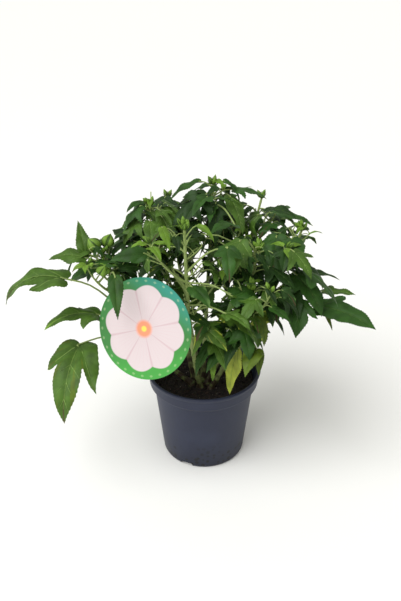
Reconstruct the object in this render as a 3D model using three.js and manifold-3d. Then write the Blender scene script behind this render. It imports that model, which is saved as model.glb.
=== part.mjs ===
// A potted hibiscus shrub with its round plant label, in millimetres, +Z up.
// The origin is the centre of the pot's underside, and the side that faces the viewer looks along -Y.
// Canes rise from the potting soil. Each ends in a mass of foliage, which is the cane's own tip
// with its twigs, leaf stalks, lobed leaves and flower buds grown on by one seeded rule.
import * as THREE from "three";
import { mergeVertices } from "three/addons/utils/BufferGeometryUtils.js";
import Module from "manifold-3d";

const wasm = await Module();
wasm.setup();

const CLEARANCE = 0.3;
const DEGREE = Math.PI / 180;

// The pot: a moulded nursery pot with a collar and a rolled lip.
const POT_HEIGHT = 161;
const POT_LIP_RADIUS = 95;
const POT_LIP_DEPTH = 7;
const POT_COLLAR_RADIUS = 88.5;
const POT_COLLAR_FOOT = 145;
const POT_NECK_RADIUS = 83.6;
const POT_NECK_HEIGHT = 136;
const POT_FOOT_RADIUS = 69.4;
const POT_WALL = 1.8;
const POT_SIDES = 40;
const FOOT_RING_WIDTH = 9;
const FOOT_PAD_RADIUS = 14;
const FLOOR_UNDERSIDE = 6;
const FLOOR_TOP = 8;
const DRAIN_ARCHES = 3;
const DRAIN_ARCH_WIDTH = 21;
const DRAIN_ARCH_HEIGHT = 5.5;
const DRAIN_ARCH_DEPTH = 12;
const DRAIN_ARCH_DIRECTION = 247;

// The soil, a little proud at the middle of the pot.
const SOIL_EDGE = 141;
const SOIL_CROWN = 143;
const SOIL_CROWN_RADIUS = 45;

// The round label, which leans back on a thin stick in the soil.
const LABEL_RADIUS = 76;
const LABEL_THICKNESS = 1.2;
const LABEL_CENTRE = new THREE.Vector3(-88, -90, 289);
const LABEL_LEAN_BACK = 20;
const LABEL_TURN_LEFT = 25;
const LABEL_SIDES = 36;
const STICK_RADIUS = 1.8;
const STICK_FOOT = [-72, 0];
const STICK_PLATE = { radius: 9, thickness: 1.6, sides: 12 };
const STICK_HEAD = { width: 7, depth: 5 };
const CUT_DEPTH = 8;

// Canes: where each leaves the soil and where it ends. Its middle is drawn out by the share bow of
// its reach and up by the share lift. Leaves go round it in a spiral, and size scales them.
// The leaves that make the plant's outline are stated one by one, as reaching: how far up the cane
// each stands, where its stalk points and how it rises, and how its blade turns, pitches and droops.
const CANES = [
  {
    name: "left",
    foot: [-20, -24],
    tip: [-152, -15, 376],
    bow: 0.8,
    lift: 0.36,
    leaves: 14,
    size: 0.8,
    spiral: 180,
    seed: 675,
    fatBuds: true,
    reaching: [
      { at: 0.62, toward: 202, stalk: 116, rise: 38, blade: 104, turn: -20, pitch: 6, droop: 50, lobes: 0.4 },
      { at: 0.93, toward: 172, stalk: 34, rise: 26, blade: 50, turn: -60, pitch: 58, droop: 20, lobes: 0 },
      { at: 0.9, toward: 192, stalk: 40, rise: 38, blade: 56, turn: 4, pitch: 6, droop: 30, lobes: 0 },
      { at: 0.86, toward: 284, stalk: 68, rise: 18, blade: 74, turn: -6, pitch: -24, droop: 42, lobes: 0 },
      { at: 0.5, toward: 202, stalk: 74, rise: 36, blade: 84, turn: -10, pitch: 4, droop: 40, lobes: 0.55 },
      { at: 0.4, toward: 197, stalk: 106, rise: 6, blade: 140, turn: 48, pitch: -48, droop: 44, lobes: 0.5 },
    ],
  },
  {
    name: "front",
    foot: [-6, -32],
    tip: [-28, -60, 438],
    bow: 0.9,
    lift: 0.35,
    leaves: 16,
    size: 0.8,
    spiral: 160,
    seed: 51,
    reaching: [
      { at: 0.7, toward: 184, stalk: 88, rise: 48, blade: 52, turn: 8, pitch: 8, droop: 30, lobes: 0 },
      { at: 0.8, toward: 335, stalk: 82, rise: 40, blade: 56, turn: -60, pitch: -14, droop: 50, lobes: 0.5 },
      { at: 0.97, toward: 240, stalk: 24, rise: 14, blade: 28, turn: 42, pitch: -16, droop: 40, lobes: 0 },
    ],
  },
  {
    name: "upper_left",
    foot: [-16, -10],
    tip: [-84, 50, 430],
    bow: 0.5,
    lift: 0.5,
    leaves: 20,
    size: 0.95,
    spiral: 60,
    seed: 789,
    reaching: [
      { at: 0.92, toward: 218, stalk: 34, rise: 50, blade: 54, turn: -8, pitch: -22, droop: 60, lobes: 0.5 },
    ],
  },
  {
    name: "top",
    foot: [-2, -12],
    tip: [14, 58, 462],
    bow: 0.5,
    lift: 0.5,
    leaves: 24,
    size: 1,
    spiral: 60,
    seed: 265,
    reaching: [
      { at: 0.97, toward: 183, stalk: 22, rise: 30, blade: 58, turn: 20, pitch: 0, droop: 40, lobes: 0 },
      { at: 0.93, toward: 3, stalk: 36, rise: 22, blade: 54, turn: -20, pitch: 12, droop: 45, lobes: 0.6 },
    ],
  },
  {
    name: "right",
    foot: [19, -16],
    tip: [150, 18, 402],
    bow: 0.6,
    lift: 0.42,
    leaves: 20,
    size: 0.95,
    spiral: 240,
    seed: 847,
    reaching: [
      { at: 0.7, toward: 349, stalk: 48, rise: 24, blade: 54, turn: 0, pitch: 8, droop: 35, lobes: 0 },
      { at: 0.6, toward: 353, stalk: 84, rise: 11, blade: 52, turn: 0, pitch: 12, droop: 30, lobes: 0.4 },
      { at: 0.56, toward: 330, stalk: 90, rise: 16, blade: 96, turn: -2, pitch: 10, droop: 35, lobes: 0.5 },
      { at: 0.5, toward: 312, stalk: 92, rise: 32, blade: 66, turn: -56, pitch: -28, droop: 50, lobes: 0.6 },
    ],
  },
  {
    name: "back_right",
    foot: [11, -4],
    tip: [96, 122, 415],
    bow: 0.55,
    lift: 0.5,
    leaves: 18,
    size: 1,
    spiral: 280,
    seed: 89,
    reaching: [
      { at: 0.93, toward: 320, stalk: 24, rise: 10, blade: 74, turn: 30, pitch: 6, droop: 40, lobes: 0.6 },
    ],
  },
  {
    name: "back_left",
    foot: [-7, 2],
    tip: [-62, 150, 405],
    bow: 0.55,
    lift: 0.5,
    leaves: 20,
    size: 1,
    spiral: 140,
    seed: 875,
  },
  {
    name: "inner_right",
    foot: [6, -22],
    tip: [82, -22, 388],
    bow: 0.6,
    lift: 0.42,
    leaves: 20,
    size: 1,
    spiral: 220,
    seed: 527,
  },
  {
    name: "low_right",
    foot: [12, -34],
    tip: [70, -70, 345],
    bow: 0.7,
    lift: 0.45,
    leaves: 12,
    size: 0.7,
    spiral: 300,
    seed: 83,
    reaching: [
      { at: 0.39, toward: 296, stalk: 34, rise: 46, blade: 82, turn: -80, pitch: -68, droop: 25, lobes: 0 },
      { at: 0.5, toward: 345, stalk: 40, rise: -5, blade: 66, turn: -80, pitch: -46, droop: 30, lobes: 0 },
      { at: 0.7, toward: 4, stalk: 32, rise: 36, blade: 60, turn: -74, pitch: -42, droop: 50, lobes: 0.4 },
    ],
  },
];
const CANE_RADII = [5.4, 4.2, 3.8, 3.5, 3.3, 3.2];
const STEM_RADII = [3.2, 1.7];
const CANE_SIDES = 6;
const BARE_SHARE = 0.3;

// Leaves: their stalks and blades, from the lowest leaf of a cane to the youngest.
const GOLDEN_TURN = 137.5;
const LEAFY_PART = [0.4, 0.97];
const LOBED_LEAVES = 0.72;
const SPACE_SLACK = 30;
const LOWEST_LEAF = 185;
const UNDERSIDE_SLOPE = 1.2;
const TURNS_FOR_ROOM = [0, 35, -35, 70, -70, 110, -110, 150, -150, 180];
const STALK_LENGTH = [74, 26];
const BLADE_LENGTH = [112, 52];
const STALK_RADIUS = [1.3, 0.9];
const STALK_ARCH = 0.12;
const BLADE_THICKNESS_SHARE = 0.02;
const BLADE_CUP = 0.7;
const LOBE_SPREAD = 50;
const LOBE_HALF_ANGLE = 43;
const LOBE_CREST = 0.58;
const LOBE_SHOULDER = 0.25;
const PALM_REACH = 0.27;
const LOBED_RAYS = [-104, -78, -50, -30, -12, 0, 12, 30, 50, 78, 104];
const PLAIN_RAYS = [-85, -38, -14, 0, 14, 38, 85];
const MIDRIB_BEND = 0.5;

// Twigs branch from a cane's upper part, and each ends in a small spray of leaves.
const TWIG_PLACES = [0.45, 0.6, 0.75];
const TWIG_LENGTH = 84;
const TWIG_RADIUS = [1.8, 1.1];
const TWIG_LEAVES = 4;
const TWIG_YOUTH = [0.5, 1];
const TWIG_FIRST_TURN = 70;
const TWIG_TURN = 150;
const TWIG_STRAY = 40;

// Flower buds stand round a cane's tip on short stalks. The left cane's are fat round seed pods.
const BUDS_PER_TIP = 3;
const BUD = { length: 24, radius: 6, sides: 5, stalk: 7, lean: 0.55 };
const FAT_BUD = { length: 24, radius: 11.5, sides: 8, stalk: 16, lean: 0.9 };
const BUD_STALK_RADIUS = [1.3, 1.1];

const COLOURS = {
  pot: 0x3f434e,
  soil: 0x1f1613,
  cane: 0x7e9a52,
  foliage: 0x3f6f35,
  label: 0x3fa04a,
  stick: 0x4c7a3a,
};

function finish(colour, roughness) {
  return new THREE.MeshStandardMaterial({ color: colour, roughness, metalness: 0 });
}

// A seeded row of numbers from 0 to 1, the same on every machine.
function numbersFrom(seed) {
  let state = seed >>> 0;
  return () => {
    state = (Math.imul(state, 1664525) + 1013904223) >>> 0;
    return state / 4294967296;
  };
}

const between = (pair, share) => pair[0] + (pair[1] - pair[0]) * share;

// A closed geometry as a solid that can be joined and cut.
function solidOf(geometry) {
  const bare = geometry.clone();
  bare.deleteAttribute("normal");
  bare.deleteAttribute("uv");
  const merged = mergeVertices(bare, 1e-4);
  const corners = [];
  const index = merged.index.array;
  for (let i = 0; i < index.length; i += 3) {
    const [a, b, c] = [index[i], index[i + 1], index[i + 2]];
    if (a !== b && b !== c && c !== a) corners.push(a, b, c);
  }
  const solid = new wasm.Manifold(
    new wasm.Mesh({
      numProp: 3,
      vertProperties: new Float32Array(merged.attributes.position.array),
      triVerts: new Uint32Array(corners),
    }),
  );
  return solid;
}

// A solid as a named mesh.
function meshOf(name, solid, colour, roughness) {
  const made = solid.getMesh();
  const geometry = new THREE.BufferGeometry();
  geometry.setAttribute("position", new THREE.BufferAttribute(new Float32Array(made.vertProperties), 3));
  geometry.setIndex(new THREE.BufferAttribute(new Uint32Array(made.triVerts), 1));
  geometry.computeVertexNormals();
  const mesh = new THREE.Mesh(geometry, finish(colour, roughness));
  mesh.name = name;
  return mesh;
}

// A profile of [radius, height] pairs turned round the Z axis.
function turned(profile, sides) {
  const points = profile.map(([radius, height]) => new THREE.Vector2(radius, height));
  return new THREE.LatheGeometry(points, sides).rotateX(Math.PI / 2);
}

// A tapering round limb: a cylinder bent along a curve. Its radii are spaced evenly along it.
function limb(curve, radii, sides, steps) {
  const cylinder = new THREE.CylinderGeometry(1, 1, 1, sides, steps);
  const place = cylinder.getAttribute("position");
  for (let i = 0; i < place.count; i++) {
    const share = THREE.MathUtils.clamp(place.getY(i) + 0.5, 0, 1);
    const stop = Math.min(Math.floor(share * (radii.length - 1)), radii.length - 2);
    const radius = between([radii[stop], radii[stop + 1]], share * (radii.length - 1) - stop);
    const along = curve.getTangent(share);
    const aside = new THREE.Vector3(0.31, 0.95, 0.05).cross(along).normalize();
    const across = along.clone().cross(aside);
    const point = curve.getPoint(share);
    point.addScaledVector(aside, radius * place.getX(i)).addScaledVector(across, -radius * place.getZ(i));
    place.setXYZ(i, point.x, point.y, point.z);
  }
  return cylinder;
}

// A limb's foot is cut flat and level at a height.
function cutFlat(solid, height) {
  const below = new THREE.BoxGeometry(2 * POT_LIP_RADIUS, 2 * POT_LIP_RADIUS, POT_HEIGHT);
  return solid.subtract(solidOf(below.translate(0, 0, height - POT_HEIGHT / 2)));
}

// The stretch of a curve between two shares of it.
function stretch(curve, from, to) {
  const steps = [0, 0.2, 0.4, 0.6, 0.8, 1];
  return new THREE.CatmullRomCurve3(steps.map((step) => curve.getPoint(from + (to - from) * step)));
}

function potOuterRadius(height) {
  return between([POT_FOOT_RADIUS, POT_NECK_RADIUS], height / POT_NECK_HEIGHT);
}

function makePot() {
  const lipInner = POT_COLLAR_RADIUS - POT_WALL;
  const profile = [
    [0, 0],
    [FOOT_PAD_RADIUS, 0],
    [FOOT_PAD_RADIUS + 2, FLOOR_UNDERSIDE],
    [POT_FOOT_RADIUS - FOOT_RING_WIDTH, FLOOR_UNDERSIDE],
    [POT_FOOT_RADIUS - FOOT_RING_WIDTH + 1.5, 0],
    [POT_FOOT_RADIUS - 2.2, 0],
    [POT_FOOT_RADIUS, 3.5],
    [POT_NECK_RADIUS, POT_NECK_HEIGHT],
    [POT_COLLAR_RADIUS - 2, POT_COLLAR_FOOT],
    [POT_COLLAR_RADIUS, POT_HEIGHT - POT_LIP_DEPTH],
    [POT_LIP_RADIUS - 1.2, POT_HEIGHT - POT_LIP_DEPTH + 1],
    [POT_LIP_RADIUS, POT_HEIGHT - 1.5],
    [POT_LIP_RADIUS - 1.5, POT_HEIGHT],
    [POT_LIP_RADIUS - 4.5, POT_HEIGHT],
    [lipInner, POT_HEIGHT - POT_LIP_DEPTH],
    [lipInner - 1.5, POT_COLLAR_FOOT],
    [POT_NECK_RADIUS - POT_WALL, POT_NECK_HEIGHT],
    [potOuterRadius(FLOOR_TOP) - POT_WALL, FLOOR_TOP],
    [0, FLOOR_TOP],
  ];
  let pot = solidOf(turned(profile, POT_SIDES));
  for (let k = 0; k < DRAIN_ARCHES; k++) {
    const arch = new THREE.BoxGeometry(2 * DRAIN_ARCH_DEPTH, DRAIN_ARCH_WIDTH, 2 * DRAIN_ARCH_HEIGHT);
    arch.translate(POT_FOOT_RADIUS, 0, 0);
    arch.rotateZ((DRAIN_ARCH_DIRECTION + (k * 360) / DRAIN_ARCHES) * DEGREE);
    pot = pot.subtract(solidOf(arch));
  }
  return meshOf("pot", pot, COLOURS.pot, 0.45);
}

// The height of the soil's top at a distance from the pot's axis.
function soilHeight(distance) {
  const edge = POT_NECK_RADIUS - POT_WALL - CLEARANCE + 1;
  const share = THREE.MathUtils.clamp((distance - SOIL_CROWN_RADIUS) / (edge - SOIL_CROWN_RADIUS), 0, 1);
  return between([SOIL_CROWN, SOIL_EDGE], share);
}

function makeSoil() {
  const inset = POT_WALL + CLEARANCE;
  const floor = FLOOR_TOP + CLEARANCE;
  const profile = [
    [0, floor],
    [potOuterRadius(floor) - inset, floor],
    [POT_NECK_RADIUS - inset, POT_NECK_HEIGHT],
    [POT_NECK_RADIUS - inset + 1, SOIL_EDGE],
    [SOIL_CROWN_RADIUS, SOIL_CROWN],
    [0, SOIL_CROWN],
  ];
  return meshOf("potting_soil", solidOf(turned(profile, 24)), COLOURS.soil, 0.95);
}

// The label faces the viewer: turned a little to the left and leant back.
const LABEL_POSE = new THREE.Matrix4()
  .makeRotationZ(-LABEL_TURN_LEFT * DEGREE)
  .multiply(new THREE.Matrix4().makeRotationX(-LABEL_LEAN_BACK * DEGREE));

// Stands a geometry, made round the origin with its back along +Y, in the label's pose.
// `behind` is how far its middle lies behind the middle of the label.
function inLabelPose(geometry, behind) {
  geometry.translate(0, behind, 0).applyMatrix4(LABEL_POSE).translate(...LABEL_CENTRE.toArray());
  return solidOf(geometry);
}

function labelSolid() {
  return inLabelPose(new THREE.CylinderGeometry(LABEL_RADIUS, LABEL_RADIUS, LABEL_THICKNESS, LABEL_SIDES), 0);
}

// The stick, and the head and plate on it that carry the label. Its foot is cut flat above the soil.
function stickSolid() {
  const plateBack = LABEL_THICKNESS / 2 + CLEARANCE + STICK_PLATE.thickness;
  const headMiddle = plateBack + STICK_HEAD.depth / 2 - 0.5;
  const { radius, thickness, sides } = STICK_PLATE;
  const disc = new THREE.CylinderGeometry(radius, radius, thickness, sides);
  const plate = inLabelPose(disc, plateBack - thickness / 2);
  const block = new THREE.BoxGeometry(STICK_HEAD.width, STICK_HEAD.depth, STICK_HEAD.width);
  const head = inLabelPose(block, headMiddle);
  const top = new THREE.Vector3(0, headMiddle, 0).applyMatrix4(LABEL_POSE).add(LABEL_CENTRE);
  const foot = new THREE.Vector3(STICK_FOOT[0], STICK_FOOT[1], SOIL_EDGE - CUT_DEPTH);
  const stick = solidOf(limb(new THREE.LineCurve3(foot, top), [STICK_RADIUS, STICK_RADIUS], 8, 1));
  const soilHere = soilHeight(Math.hypot(...STICK_FOOT) - 2 * STICK_RADIUS);
  return cutFlat(stick, soilHere + CLEARANCE).add(plate).add(head);
}

// The line of a cane from the soil to its tip.
function caneLine(cane) {
  const foot = new THREE.Vector3(cane.foot[0], cane.foot[1], SOIL_CROWN + CLEARANCE);
  const tip = new THREE.Vector3(...cane.tip);
  const middle = new THREE.Vector3(
    between([foot.x, tip.x], cane.bow),
    between([foot.y, tip.y], cane.bow),
    between([foot.z, tip.z], cane.lift),
  );
  return new THREE.QuadraticBezierCurve3(foot, middle, tip);
}

// How far a lobe reaches, as a share of its length, at an angle from its own midrib.
function lobeReach(angle, halfAngle) {
  const off = Math.abs(angle) / halfAngle;
  return off >= 1.2 ? 0 : 1 - LOBE_CREST * Math.sqrt(off) - LOBE_SHOULDER * off * off;
}

// How far the whole blade reaches from its stalk at an angle from the midrib.
function bladeReach(angle, lobes) {
  const middle = lobeReach(angle, LOBE_HALF_ANGLE);
  const side = lobes * lobeReach(Math.abs(angle) - LOBE_SPREAD, LOBE_HALF_ANGLE * 0.8);
  const palm = PALM_REACH * Math.cos((angle / 2.6) * DEGREE);
  return Math.max(middle, side, palm);
}

// A point of a blade: along its midrib, out from it, and above it. The midrib bends down evenly.
function bladePoint(leaf, along, out, above) {
  const bend = (leaf.droop * DEGREE) / leaf.blade;
  const start = leaf.pitch * DEGREE;
  const slope = start - bend * along;
  const run = (Math.sin(start) - Math.sin(slope)) / bend;
  const rise = (Math.cos(slope) - Math.cos(start)) / bend;
  const heading = leaf.heading * DEGREE;
  const forward = new THREE.Vector3(Math.cos(heading), Math.sin(heading), 0);
  const left = new THREE.Vector3(-Math.sin(heading), Math.cos(heading), 0);
  const normal = forward.clone().multiplyScalar(-Math.sin(slope));
  normal.z = Math.cos(slope);
  const roll = leaf.roll * DEGREE;
  const side = left.clone().multiplyScalar(Math.cos(roll)).addScaledVector(normal, Math.sin(roll));
  const face = normal.multiplyScalar(Math.cos(roll)).addScaledVector(left, -Math.sin(roll));
  const sag = (BLADE_CUP * out * out) / leaf.blade;
  const point = leaf.base.clone().addScaledVector(forward, run);
  point.z += rise;
  return point.addScaledVector(side, out).addScaledVector(face, above - sag);
}

// The rings of a three-sided leaf stalk, from inside its cane to the blade, which starts at the last.
function stalkRings(leaf) {
  const middle = leaf.root.clone().lerp(leaf.base, 0.55);
  middle.z += leaf.stalk * STALK_ARCH;
  const ahead = bladePoint(leaf, leaf.blade * 0.1, 0, 0);
  const side = bladePoint(leaf, 0, 1, 0).sub(leaf.base);
  const stops = [leaf.root, middle, leaf.base];
  return stops.map((centre, k) => {
    const from = k === 1 ? leaf.root : centre;
    const along = [middle, leaf.base, ahead][k].clone().sub(from).normalize();
    const aside = side.clone().addScaledVector(along, -side.dot(along)).normalize();
    const up = along.clone().cross(aside);
    const radius = between(STALK_RADIUS, k / 2);
    return [90, -30, 210].map((angle) => {
      const point = centre.clone().addScaledVector(aside, -radius * Math.cos(angle * DEGREE));
      return point.addScaledVector(up, radius * Math.sin(angle * DEGREE));
    });
  });
}

// A leaf as one thin closed solid: its stalk, and a blade that is sharp at its edge.
// The blade's faces fan out from the stalk's end, and beyond the notches from the bend of the midrib.
function leafSolid(leaf) {
  const rays = leaf.lobes > 0 ? LOBED_RAYS : PLAIN_RAYS;
  const half = (leaf.blade * BLADE_THICKNESS_SHARE) / 2;
  const bend = leaf.blade * MIDRIB_BEND;
  const points = stalkRings(leaf).flat();
  const corners = [0, 2, 1];
  for (const ring of [0, 3])
    for (let k = 0; k < 3; k++) {
      const here = ring + k;
      const next = ring + ((k + 1) % 3);
      corners.push(here, next + 3, here + 3, here, next, next + 3);
    }
  const [crest, right, left] = [6, 7, 8];
  const bendTop = points.push(bladePoint(leaf, bend, 0, half)) - 1;
  const bendUnder = points.push(bladePoint(leaf, bend, 0, -half)) - 1;
  const edge = rays.map((ray) => {
    const reach = leaf.blade * bladeReach(ray, leaf.lobes);
    const tip = bladePoint(leaf, Math.cos(ray * DEGREE) * reach, Math.sin(ray * DEGREE) * reach, 0);
    return points.push(tip) - 1;
  });
  const last = edge.length - 1;
  const firstFront = rays.findIndex((ray) => Math.abs(ray) < LOBE_HALF_ANGLE);
  const lastFront = last - firstFront;
  for (let k = 0; k < last; k++) {
    const inFront = k >= firstFront && k < lastFront;
    corners.push(inFront ? bendTop : crest, edge[k], edge[k + 1]);
    corners.push(inFront ? bendUnder : k < firstFront ? right : left, edge[k + 1], edge[k]);
  }
  corners.push(crest, edge[firstFront], bendTop, crest, bendTop, edge[lastFront]);
  corners.push(right, bendUnder, edge[firstFront], left, edge[lastFront], bendUnder, right, left, bendUnder);
  corners.push(crest, right, edge[0], crest, edge[last], left);
  const geometry = new THREE.BufferGeometry().setFromPoints(points);
  geometry.setIndex(corners);
  return solidOf(geometry);
}

// The full record of a leaf from the line that it grows on and how it is held.
function leafOn(line, held) {
  const root = line.getPoint(held.at);
  const toward = held.toward * DEGREE;
  const rise = held.rise * DEGREE;
  const away = new THREE.Vector3(Math.cos(toward), Math.sin(toward), Math.tan(rise)).normalize();
  const base = root.clone().addScaledVector(away, held.stalk);
  return { ...held, root, base, heading: held.toward + held.turn };
}

// How the leaves round a line are held: by the golden turn, from its leafy part's start to its tip.
function spiralOfLeaves(cane, count, youth, random) {
  const held = [];
  for (let k = 0; k < count; k++) {
    const age = count > 1 ? k / (count - 1) : 0.5;
    const young = between(youth, age);
    held.push({
      at: between(LEAFY_PART, age),
      toward: cane.spiral + k * GOLDEN_TURN + (random() - 0.5) * 30,
      stalk: cane.size * between(STALK_LENGTH, young) * (0.85 + 0.3 * random()),
      rise: 12 + 26 * random(),
      blade: cane.size * between(BLADE_LENGTH, young) * (0.85 + 0.3 * random()),
      turn: (random() - 0.5) * 40,
      pitch: -2 - 24 * random(),
      droop: 34 + 34 * random(),
      lobes: random() < LOBED_LEAVES ? 0.45 + 0.3 * random() : 0,
      roll: (random() - 0.5) * 36,
    });
  }
  return held;
}

// A twig leaves its cane sideways and turns upward.
function twigLine(line, at, toward) {
  const root = line.getPoint(at);
  const out = new THREE.Vector3(Math.cos(toward * DEGREE), Math.sin(toward * DEGREE), 0);
  const middle = root.clone().addScaledVector(out, TWIG_LENGTH * 0.4);
  middle.z += TWIG_LENGTH * 0.25;
  const tip = root.clone().addScaledVector(out, TWIG_LENGTH * 0.6);
  tip.z += TWIG_LENGTH * 0.75;
  return new THREE.QuadraticBezierCurve3(root, middle, tip);
}

// Places along the leafy part of each cane, which say whose space a point is in.
const GUIDE_SHARES = [0.35, 0.5, 0.65, 0.8, 0.95];
const LINES = CANES.map(caneLine);
const GUIDES = LINES.map((line) => GUIDE_SHARES.map((share) => line.getPoint(share)));

// A point is in a mass's own space when no other cane is nearer to it by more than the slack.
function isInSpaceOf(owner, point) {
  const nearest = GUIDES.map((guide) => Math.min(...guide.map((place) => place.distanceTo(point))));
  return nearest.every((distance, k) => k === owner || distance > nearest[owner] - SPACE_SLACK);
}

// The crown's underside rises from the pot's lip outward, as on a vase.
function isAboveUnderside(point) {
  const beyondLip = Math.max(0, Math.hypot(point.x, point.y) - POT_LIP_RADIUS);
  return point.z > LOWEST_LEAF + UNDERSIDE_SLOPE * beyondLip;
}

// A leaf keeps to its space when its blade's middle and tip do.
function keepsToSpace(leaf, owner) {
  const places = [bladePoint(leaf, leaf.blade * 0.5, 0, 0), bladePoint(leaf, leaf.blade * 0.95, 0, 0)];
  return places.every((point) => isInSpaceOf(owner, point) && isAboveUnderside(point));
}

const touches = (solid, others) => others.some((other) => solid.intersect(other).volume() > 0);

// The first turn round its cane that gives a twig or a leaf room: it keeps to its mass's space,
// and crosses neither what is around the mass nor what has grown in it before.
function withRoom(taken, make) {
  for (const turn of TURNS_FOR_ROOM) {
    const made = make(turn);
    if (made.inSpace && !touches(made.solid, taken)) return made;
  }
  return null;
}

// A flower bud in its calyx: a turned solid that is stood along a direction.
function budSolid(place, direction, { length, radius, sides }) {
  const profile = [
    [0, 0],
    [radius * 0.55, length * 0.08],
    [radius, length * 0.4],
    [radius * 0.7, length * 0.75],
    [0, length],
  ];
  const bud = turned(profile, sides);
  bud.applyQuaternion(new THREE.Quaternion().setFromUnitVectors(new THREE.Vector3(0, 0, 1), direction));
  return solidOf(bud.translate(...place.toArray()));
}

// Each bud joined to its short stalk, which stands in the cane's tip.
function budCluster(line, spiral, fat) {
  const kind = fat ? FAT_BUD : BUD;
  const tip = line.getPoint(0.985);
  const solids = [];
  for (let k = 0; k < BUDS_PER_TIP; k++) {
    const toward = (spiral + (k * 360) / BUDS_PER_TIP) * DEGREE;
    const out = new THREE.Vector3(Math.cos(toward), Math.sin(toward), 0);
    const direction = out.multiplyScalar(kind.lean).setZ(1).normalize();
    const place = tip.clone().addScaledVector(direction, kind.stalk);
    const stalk = new THREE.LineCurve3(tip, place.clone().addScaledVector(direction, kind.length * 0.2));
    solids.push(solidOf(limb(stalk, BUD_STALK_RADIUS, 3, 1)).add(budSolid(place, direction, kind)));
  }
  return solids;
}

// The bare lower part of a cane. It starts inside the soil's height and is cut off flat above it.
function makeCane(cane, k) {
  const bare = stretch(LINES[k], -CUT_DEPTH / LINES[k].getLength(), BARE_SHARE);
  const solid = solidOf(limb(bare, CANE_RADII, CANE_SIDES, CANE_RADII.length - 1));
  return meshOf("cane_" + cane.name, cutFlat(solid, SOIL_CROWN + CLEARANCE), COLOURS.cane, 0.6);
}

// The upper part of a cane, which is the stem of its mass of foliage. It starts clear of the lower part.
function stemSolid(line) {
  const start = BARE_SHARE + CLEARANCE / line.getLength();
  return solidOf(limb(stretch(line, start, 1), STEM_RADII, CANE_SIDES, 6));
}

// What is stated for a mass and grows first: its reaching leaves, and the buds that have room.
function statedParts(cane, line, obstacles) {
  const leaves = [];
  for (const held of cane.reaching ?? []) {
    const leaf = leafSolid(leafOn(line, { roll: 0, ...held }));
    if (touches(leaf, [...obstacles, ...leaves])) throw new Error("a stated leaf has no room: " + cane.name);
    leaves.push(leaf);
  }
  const buds = budCluster(line, cane.spiral, cane.fatBuds);
  return [...leaves, ...buds.filter((bud) => !touches(bud, [...obstacles, ...leaves]))];
}

// One mass of foliage: the cane's upper part and what is stated for it, with its twigs and leaves
// grown in the room that is left. They are joined into one solid.
function makeMass(cane, owner, stem, stated, obstacles) {
  const random = numbersFrom(cane.seed);
  const line = LINES[owner];
  const taken = [...obstacles, ...stated];
  const grown = [stem, ...stated];
  const addLeaf = (twig, held) => {
    const leaf = withRoom(taken, (turn) => {
      const turned = leafOn(twig, { ...held, toward: held.toward + turn });
      return { inSpace: keepsToSpace(turned, owner), solid: leafSolid(turned) };
    });
    if (!leaf) return;
    taken.push(leaf.solid);
    grown.push(leaf.solid);
  };
  TWIG_PLACES.forEach((at, k) => {
    const toward = cane.spiral + TWIG_FIRST_TURN + k * TWIG_TURN + random() * TWIG_STRAY;
    const leaves = spiralOfLeaves(cane, TWIG_LEAVES, TWIG_YOUTH, random);
    const twig = withRoom(taken, (turn) => {
      const bent = twigLine(line, at, toward + turn);
      const inSpace = isInSpaceOf(owner, bent.getPoint(1));
      return { bent, inSpace, solid: solidOf(limb(bent, TWIG_RADIUS, 3, 3)) };
    });
    if (!twig) return;
    grown.push(twig.solid);
    for (const held of leaves) addLeaf(twig.bent, held);
  });
  for (const held of spiralOfLeaves(cane, cane.leaves, [0, 1], random)) addLeaf(line, held);
  const mass = grown.reduce((joined, solid) => joined.add(solid));
  return meshOf("foliage_" + cane.name, mass, COLOURS.foliage, 0.6);
}

const group = new THREE.Group();
group.add(makePot(), makeSoil());
group.add(meshOf("plant_label", labelSolid(), COLOURS.label, 0.35));
group.add(meshOf("label_stick", stickSolid(), COLOURS.stick, 0.5));
CANES.forEach((cane, k) => group.add(makeCane(cane, k)));

const placed = group.children.map((mesh) => solidOf(mesh.geometry));
const stems = LINES.map(stemSolid);
const stated = [];
CANES.forEach((cane, k) => {
  const otherStems = stems.filter((stem, j) => j !== k);
  stated.push(statedParts(cane, LINES[k], [...placed, ...otherStems, ...stated.flat()]));
});
CANES.forEach((cane, k) => {
  const otherStems = stems.filter((stem, j) => j !== k);
  const otherParts = stated.filter((parts, j) => j !== k).flat();
  const mass = makeMass(cane, k, stems[k], stated[k], [...placed, ...otherStems, ...otherParts]);
  placed.push(solidOf(mass.geometry));
  group.add(mass);
});

export default group;
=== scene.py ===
# %% [markdown]
# # A potted hibiscus shrub
# The shrub stands in a dark nursery pot of peat, with a round picture label in front of it.
# The frame holds each of its parts as a plain solid of the real size, and this lesson gives each
# part its looks. It works in millimetres. A mesh is turned to metres when it is made.

# %% Load the frame
import math
from functools import partial
from types import SimpleNamespace

import bpy
import numpy as np
from mathutils import Matrix, Vector, noise
from mathutils.kdtree import KDTree


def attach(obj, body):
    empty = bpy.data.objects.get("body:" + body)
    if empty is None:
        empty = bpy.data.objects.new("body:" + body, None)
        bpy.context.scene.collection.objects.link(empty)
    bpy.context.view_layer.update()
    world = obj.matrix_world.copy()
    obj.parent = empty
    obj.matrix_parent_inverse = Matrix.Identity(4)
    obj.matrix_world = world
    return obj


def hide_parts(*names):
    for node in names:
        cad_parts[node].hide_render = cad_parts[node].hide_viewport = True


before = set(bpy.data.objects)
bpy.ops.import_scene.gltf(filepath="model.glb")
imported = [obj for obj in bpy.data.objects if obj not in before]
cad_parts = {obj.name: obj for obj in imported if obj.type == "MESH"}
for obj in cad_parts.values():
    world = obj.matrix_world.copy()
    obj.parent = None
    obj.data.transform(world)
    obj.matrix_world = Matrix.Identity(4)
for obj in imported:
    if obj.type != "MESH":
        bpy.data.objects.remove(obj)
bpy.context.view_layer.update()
MM = 0.001
print("the frame holds", len(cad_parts), "nodes")

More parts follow.
